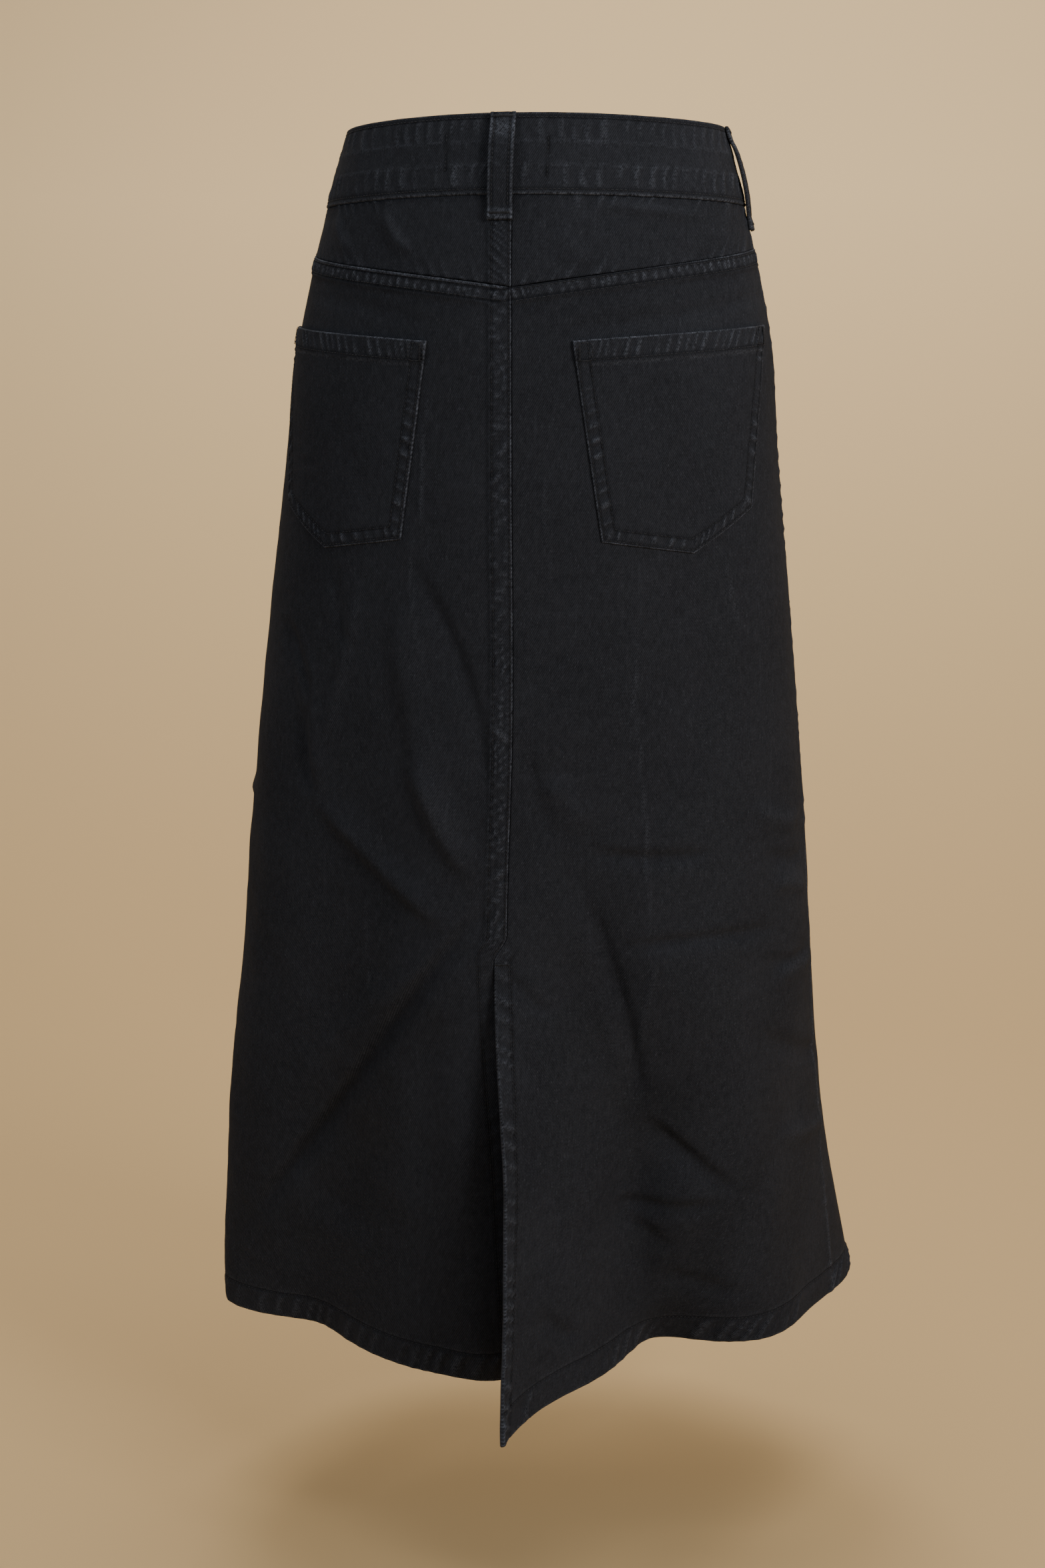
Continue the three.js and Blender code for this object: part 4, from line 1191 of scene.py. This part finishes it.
def band_relief(depth, across):
    """Height, and wear and painted shade, of the waistband: ripples over the turned-in edges along the
    top and the bottom, with a fine ridge where each ends, grooves at the rows of stitches with shade
    painted in them, and pale edges."""
    height, wear_and_shade = settle(depth, across)
    up = BAND_HEIGHT - depth
    for distance, seed, strength in ((depth, 71, 0.65), (up, 72, 1.0)):
        bowed = across + 0.025 * (distance - TURNED_IN / 2) ** 2
        ripple = puckers(bowed, distance, seed, spacing=10, slant=-0.08, steady=0.25)
        zone = band(distance, 4.5, TURNED_IN, 6)
        ridge = bell(distance - TURNED_IN, 1.1)
        groove, painted_shade = grooves(distance, BAND_ROW)
        height = height + 0.65 * strength * ripple * zone + 0.2 * ridge + groove
        wear_and_shade = wear_and_shade + 0.44 * strength * crest(ripple) * zone + 0.8 * painted_shade
        wear_and_shade = wear_and_shade + 0.2 * frayed(across, seed + 5) * ridge
    # The label's rows of stitches: shallow grooves darkened with painted shade, which also stands for their
    # dark thread.
    for label_across, top, bottom in label_rows:
        groove, painted_shade = grooves(across, label_across) * band(depth, top, bottom, 2)
        height, wear_and_shade = height + 2 * groove, wear_and_shade + 1.4 * painted_shade
    wear_and_shade = wear_and_shade + 0.6 * rubbed(across, depth, 73, 1.6, 1.4) + 0.85 * rubbed(across, up, 74, 2.0, 1.6)
    return height + BAND_PROUD, wear_and_shade


def tucked(depth, across):
    """How far the left end steps inwards, to pass under the right end."""
    step_ends = seam_across(depth, FRONT) - OVERLAP - 2
    return smooth((across - step_ends) / BAND_TUCK_LENGTH + 1) * (DOUBLED + GAP)


def on_band(depth, across):
    """Height of the waistband's face off the plain form, its left end tucked in."""
    return (band_relief(depth, across)[0] - tucked(depth, across),)


near_edge = np.r_[0, 0.3, 0.8, 1.6]
band_rows = np.r_[near_edge, np.linspace(2.6, BAND_HEIGHT - 2.6, 40), BAND_HEIGHT - near_edge[::-1]]
depth = band_rows[:, None] + np.zeros(421)
middle, middle_right = seam_across(depth, FRONT), seam_across(depth, FRONT, -1)
across = middle_right - OVERLAP + (middle + UNDERLAP - middle_right + OVERLAP) * np.linspace(0, 1, 421)
outer, wear_and_shade = band_relief(depth, across)
from_end = np.minimum(across - across[:, :1], across[:, -1:] - across)
edge = np.minimum(np.minimum(depth, BAND_HEIGHT - depth), from_end)
inner = settle(depth, across)[0] + BAND_PROUD - DOUBLED
tuck, rounding = tucked(depth, across), roll(edge, BAND_ROUNDING)
outer, inner = outer - rounding - tuck, inner + rounding - tuck
waistband = cloth_wall("waistband_cloth", depth, across, outer, inner, wear_and_shade)

rows = []
for row_depth in (BAND_ROW, BAND_HEIGHT - BAND_ROW):
    ends = seam_across(row_depth, FRONT, -1) - OVERLAP + 3, seam_across(row_depth, FRONT) - OVERLAP - 3
    rows.append(line(row_depth, np.linspace(*ends, 500), on_band))
for label_across, top, bottom in label_rows:
    rows.append(line(np.linspace(top, bottom, 20), label_across, on_band))
end_depths = np.linspace(BAND_ROW, BAND_HEIGHT - BAND_ROW, 30)
rows.append(line(end_depths, seam_across(end_depths, FRONT, -1) - OVERLAP + 3, on_band))
stitching = [sew("waistband_stitches", rows)]

BUTTON_DEPTH = 25.0
BUTTONHOLE_LENGTH = 22.0
BUTTONHOLE_HALF_WIDTH = 2.2
hole_middle = seam_across(BUTTON_DEPTH, FRONT, -1) - 2
hole = []
for turn in np.linspace(0, 2 * np.pi, 90, endpoint=False):
    reach = np.array([-0.9, 0.9])
    hole_depth = BUTTON_DEPTH + (BUTTONHOLE_HALF_WIDTH + reach) * np.sin(turn)
    hole_across = hole_middle + (BUTTONHOLE_LENGTH / 2 + reach) * np.cos(turn)
    hole.append((hole_depth, hole_across, BAND_PROUD + 0.25))
stitching.append(sew("buttonhole_stitches", hole, pitch=1.8, radius=0.28))
sew_on(waistband, "waistband", depth, across)

# Belt loops
# Three folded strips of the twill, one at the back seam and one behind each side seam, caught at
# the waist edge and below the waistband by close stitches and standing clear of it between.
LOOP_WIDTH = 17.0
LOOP_PLY = 2.2
LOOP_PAST_SIDE = 6.0
LOOP_ROW = 3.2
LOOP_TOP = 0.5
LOOP_END = 70.0
LOOP_FOLD = 62.0
LOOP_FOLD_RISE = 0.5
loop_depths = np.array([0.5, 8, 16, 27, 38, 48, 55, 62, 70])
loop_stands = np.array([1.5, 1.6, 3.2, 3.9, 3.7, 2.9, 1.9, 0.9, 0.3])


def loop_stand(depth, seat):
    """How far a loop's inner face stands off the yoke: an eased line through its profile, raised
    by what lies under its lower end."""
    slope = np.gradient(loop_stands, loop_depths)
    curve = cubic(np.clip(depth, LOOP_TOP, LOOP_END), loop_depths, loop_stands, slope)
    return curve + seat * np.clip(depth / BAND_HEIGHT, 0, 1)


def loop_relief(depth, aside):
    """Height, and wear and painted shade, of a loop's outer face: a ridge along each edge beside its
    stitches with shade painted in their grooves, small ripples, a thicker folded end, and most wear
    near the top and on the end."""
    off = LOOP_WIDTH / 2 - np.abs(aside)
    ripple = puckers(depth, aside, 81, spacing=7, slant=0.5)
    groove, painted_shade = grooves(off, LOOP_ROW)
    fold = LOOP_FOLD_RISE * smooth((depth - LOOP_FOLD) / 3) - 0.3 * bell(depth - LOOP_FOLD + 1, 1.2)
    height = 0.3 * bell(off - 1.4, 0.9) + groove + 0.14 * ripple + fold
    wear_and_shade = 0.75 * band(depth, 3, 17, 8) * (0.6 + 0.4 * ripple) + 0.5 * bell(off - 1.0, 0.8) + 0.8 * painted_shade
    return height, wear_and_shade + 0.55 * band(depth, 63, 69.5, 2.5) + 0.16 * crest(ripple)


def loop_middle(depth, side):
    """Where a loop lies: along the middle of the back seam's fell for side 0, or just past a side
    seam."""
    if side == 0:
        return CENTRE_FELL_WIDTH / 2 - CENTRE_FELL_LAP + 0 * depth
    return side_seam(depth, side) + side * LOOP_PAST_SIDE


half = LOOP_WIDTH / 2
near_side = np.r_[0, 0.25, 0.7]
aside = np.r_[near_side - half, np.linspace(1.3 - half, half - 1.3, 19), half - near_side[::-1]]
loop_rows = np.r_[LOOP_TOP, 0.8, 1.3, 2.0, np.linspace(3, 68.4, 60), 69.0, 69.5, 69.8, LOOP_END]
for side, word, seat in ((0, "back", FELL_RISE), (1, "left", 0.0), (-1, "right", 0.0)):
    depth = loop_rows[:, None] + 0 * aside
    across = loop_middle(depth, side) + aside
    stand = loop_stand(depth, seat)
    height, wear_and_shade = loop_relief(depth, aside + 0 * depth)
    edge = np.minimum(half - np.abs(aside), np.minimum(depth - LOOP_TOP, LOOP_END - depth))
    outer = stand + LOOP_PLY + height - roll(edge, FOLD_ROUNDING)
    loop = cloth_wall(f"belt_loop_{word}_cloth", depth, across, outer, stand + roll(edge, 0.7), wear_and_shade)
    row_depth = np.linspace(2, LOOP_FOLD - 1, 50)
    rows = []
    for off in (LOOP_ROW - half, half - LOOP_ROW):
        high = loop_stand(row_depth, seat) + LOOP_PLY + loop_relief(row_depth, off + 0 * row_depth)[0]
        rows.append((row_depth, loop_middle(row_depth, side) + off, high + STITCH_LIFT))
    stitching = [sew(f"belt_loop_{word}_stitches", rows)]
    bars = []
    for at, fold_rise in ((3.6, 0.0), (65.6, LOOP_FOLD_RISE)):
        high = loop_stand(np.array(at), seat) + LOOP_PLY + fold_rise + BAR_LIFT
        bars.append((at, loop_middle(at, side), high, LOOP_WIDTH - 3.5))
    stitching.append(sew_bars(f"belt_loop_{word}_bartacks", bars, 2.4))
    sew_on(loop, f"belt_loop_{word}", depth, across)

# Waistband button
# A dished metal cap with a rolled rim, on a shank through both ends of the waistband at the
# centre front. It is pressed from sheet and has tarnished unevenly.
cap_radii = [0, 6.5, 7.7, 8.35, 8.5, 8.35, 7.95, 7.4, 6.9, 6.5, 6.2, 4.0, 2.0, 0]
cap_heights = [0, 0, 0.35, 0.95, 1.6, 2.25, 2.75, 3.0, 2.92, 2.62, 2.45, 2.38, 2.42, 2.46]
cap_profile = np.stack([cap_radii, cap_heights], 1)


def button_metal():
    """Dull dark metal: two tones of tarnish in fine blotches, also as bump."""
    finish = Finish("button_metal", roughness=0.4, specular=0.5)
    place = finish.node("TexCoord", "place", {})["Object"]
    tarnish = finish.node("TexNoise", "tarnish", {"Vector": place, "Scale": 420, "Detail": 5})["Fac"]
    finish.colour(finish.mix(tarnish, (0.13, 0.12, 0.105), (0.27, 0.25, 0.22)))
    finish.bump("tarnish", tarnish, 0.25, 0.0001)
    finish.feed(finish.shader, {"Metallic": 1.0})
    return finish.material


def turned_piece(name, profile, seat, out, segments=48):
    """A lathe form: the profile's radii and heights turned about the line that leaves the seat
    along `out`."""
    aside = np.cross(out, (0, 0, 1.0))
    aside /= np.linalg.norm(aside)
    up = np.cross(aside, out)
    turn = 2 * np.pi * np.arange(segments) / segments
    radius, high = profile[1:-1, :1], profile[1:-1, 1:]
    ring = radius[..., None] * (np.cos(turn)[:, None] * aside + np.sin(turn)[:, None] * up)
    rings = seat + ring + high[..., None] * out
    tips = seat + profile[[0, -1], 1:] * out
    points = np.concatenate([rings.reshape(-1, 3), tips]) * METRE
    at = np.arange(len(rings) * segments).reshape(len(rings), segments)
    beside = np.roll(at, -1, axis=1)
    walls = np.stack([at[:-1], at[1:], beside[1:], beside[:-1]], -1).reshape(-1, 4)
    first, last = len(points) - 2, len(points) - 1
    fan_in = np.stack([np.full(segments, first), at[0], beside[0]], -1)
    fan_out = np.stack([np.full(segments, last), beside[-1], at[-1]], -1)
    return plain_object(name, points.tolist(), walls.tolist() + fan_in.tolist() + fan_out.tolist())


button_across = seam_across(BUTTON_DEPTH, FRONT)
seat, out = (a.reshape(3) for a in cloth(BUTTON_DEPTH, button_across, BAND_PROUD + GAP))
button = turned_piece("waistband_button_cap", cap_profile, seat, out)
button.data.materials.append(button_metal())
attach(button, "root")
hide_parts("waistband_button")
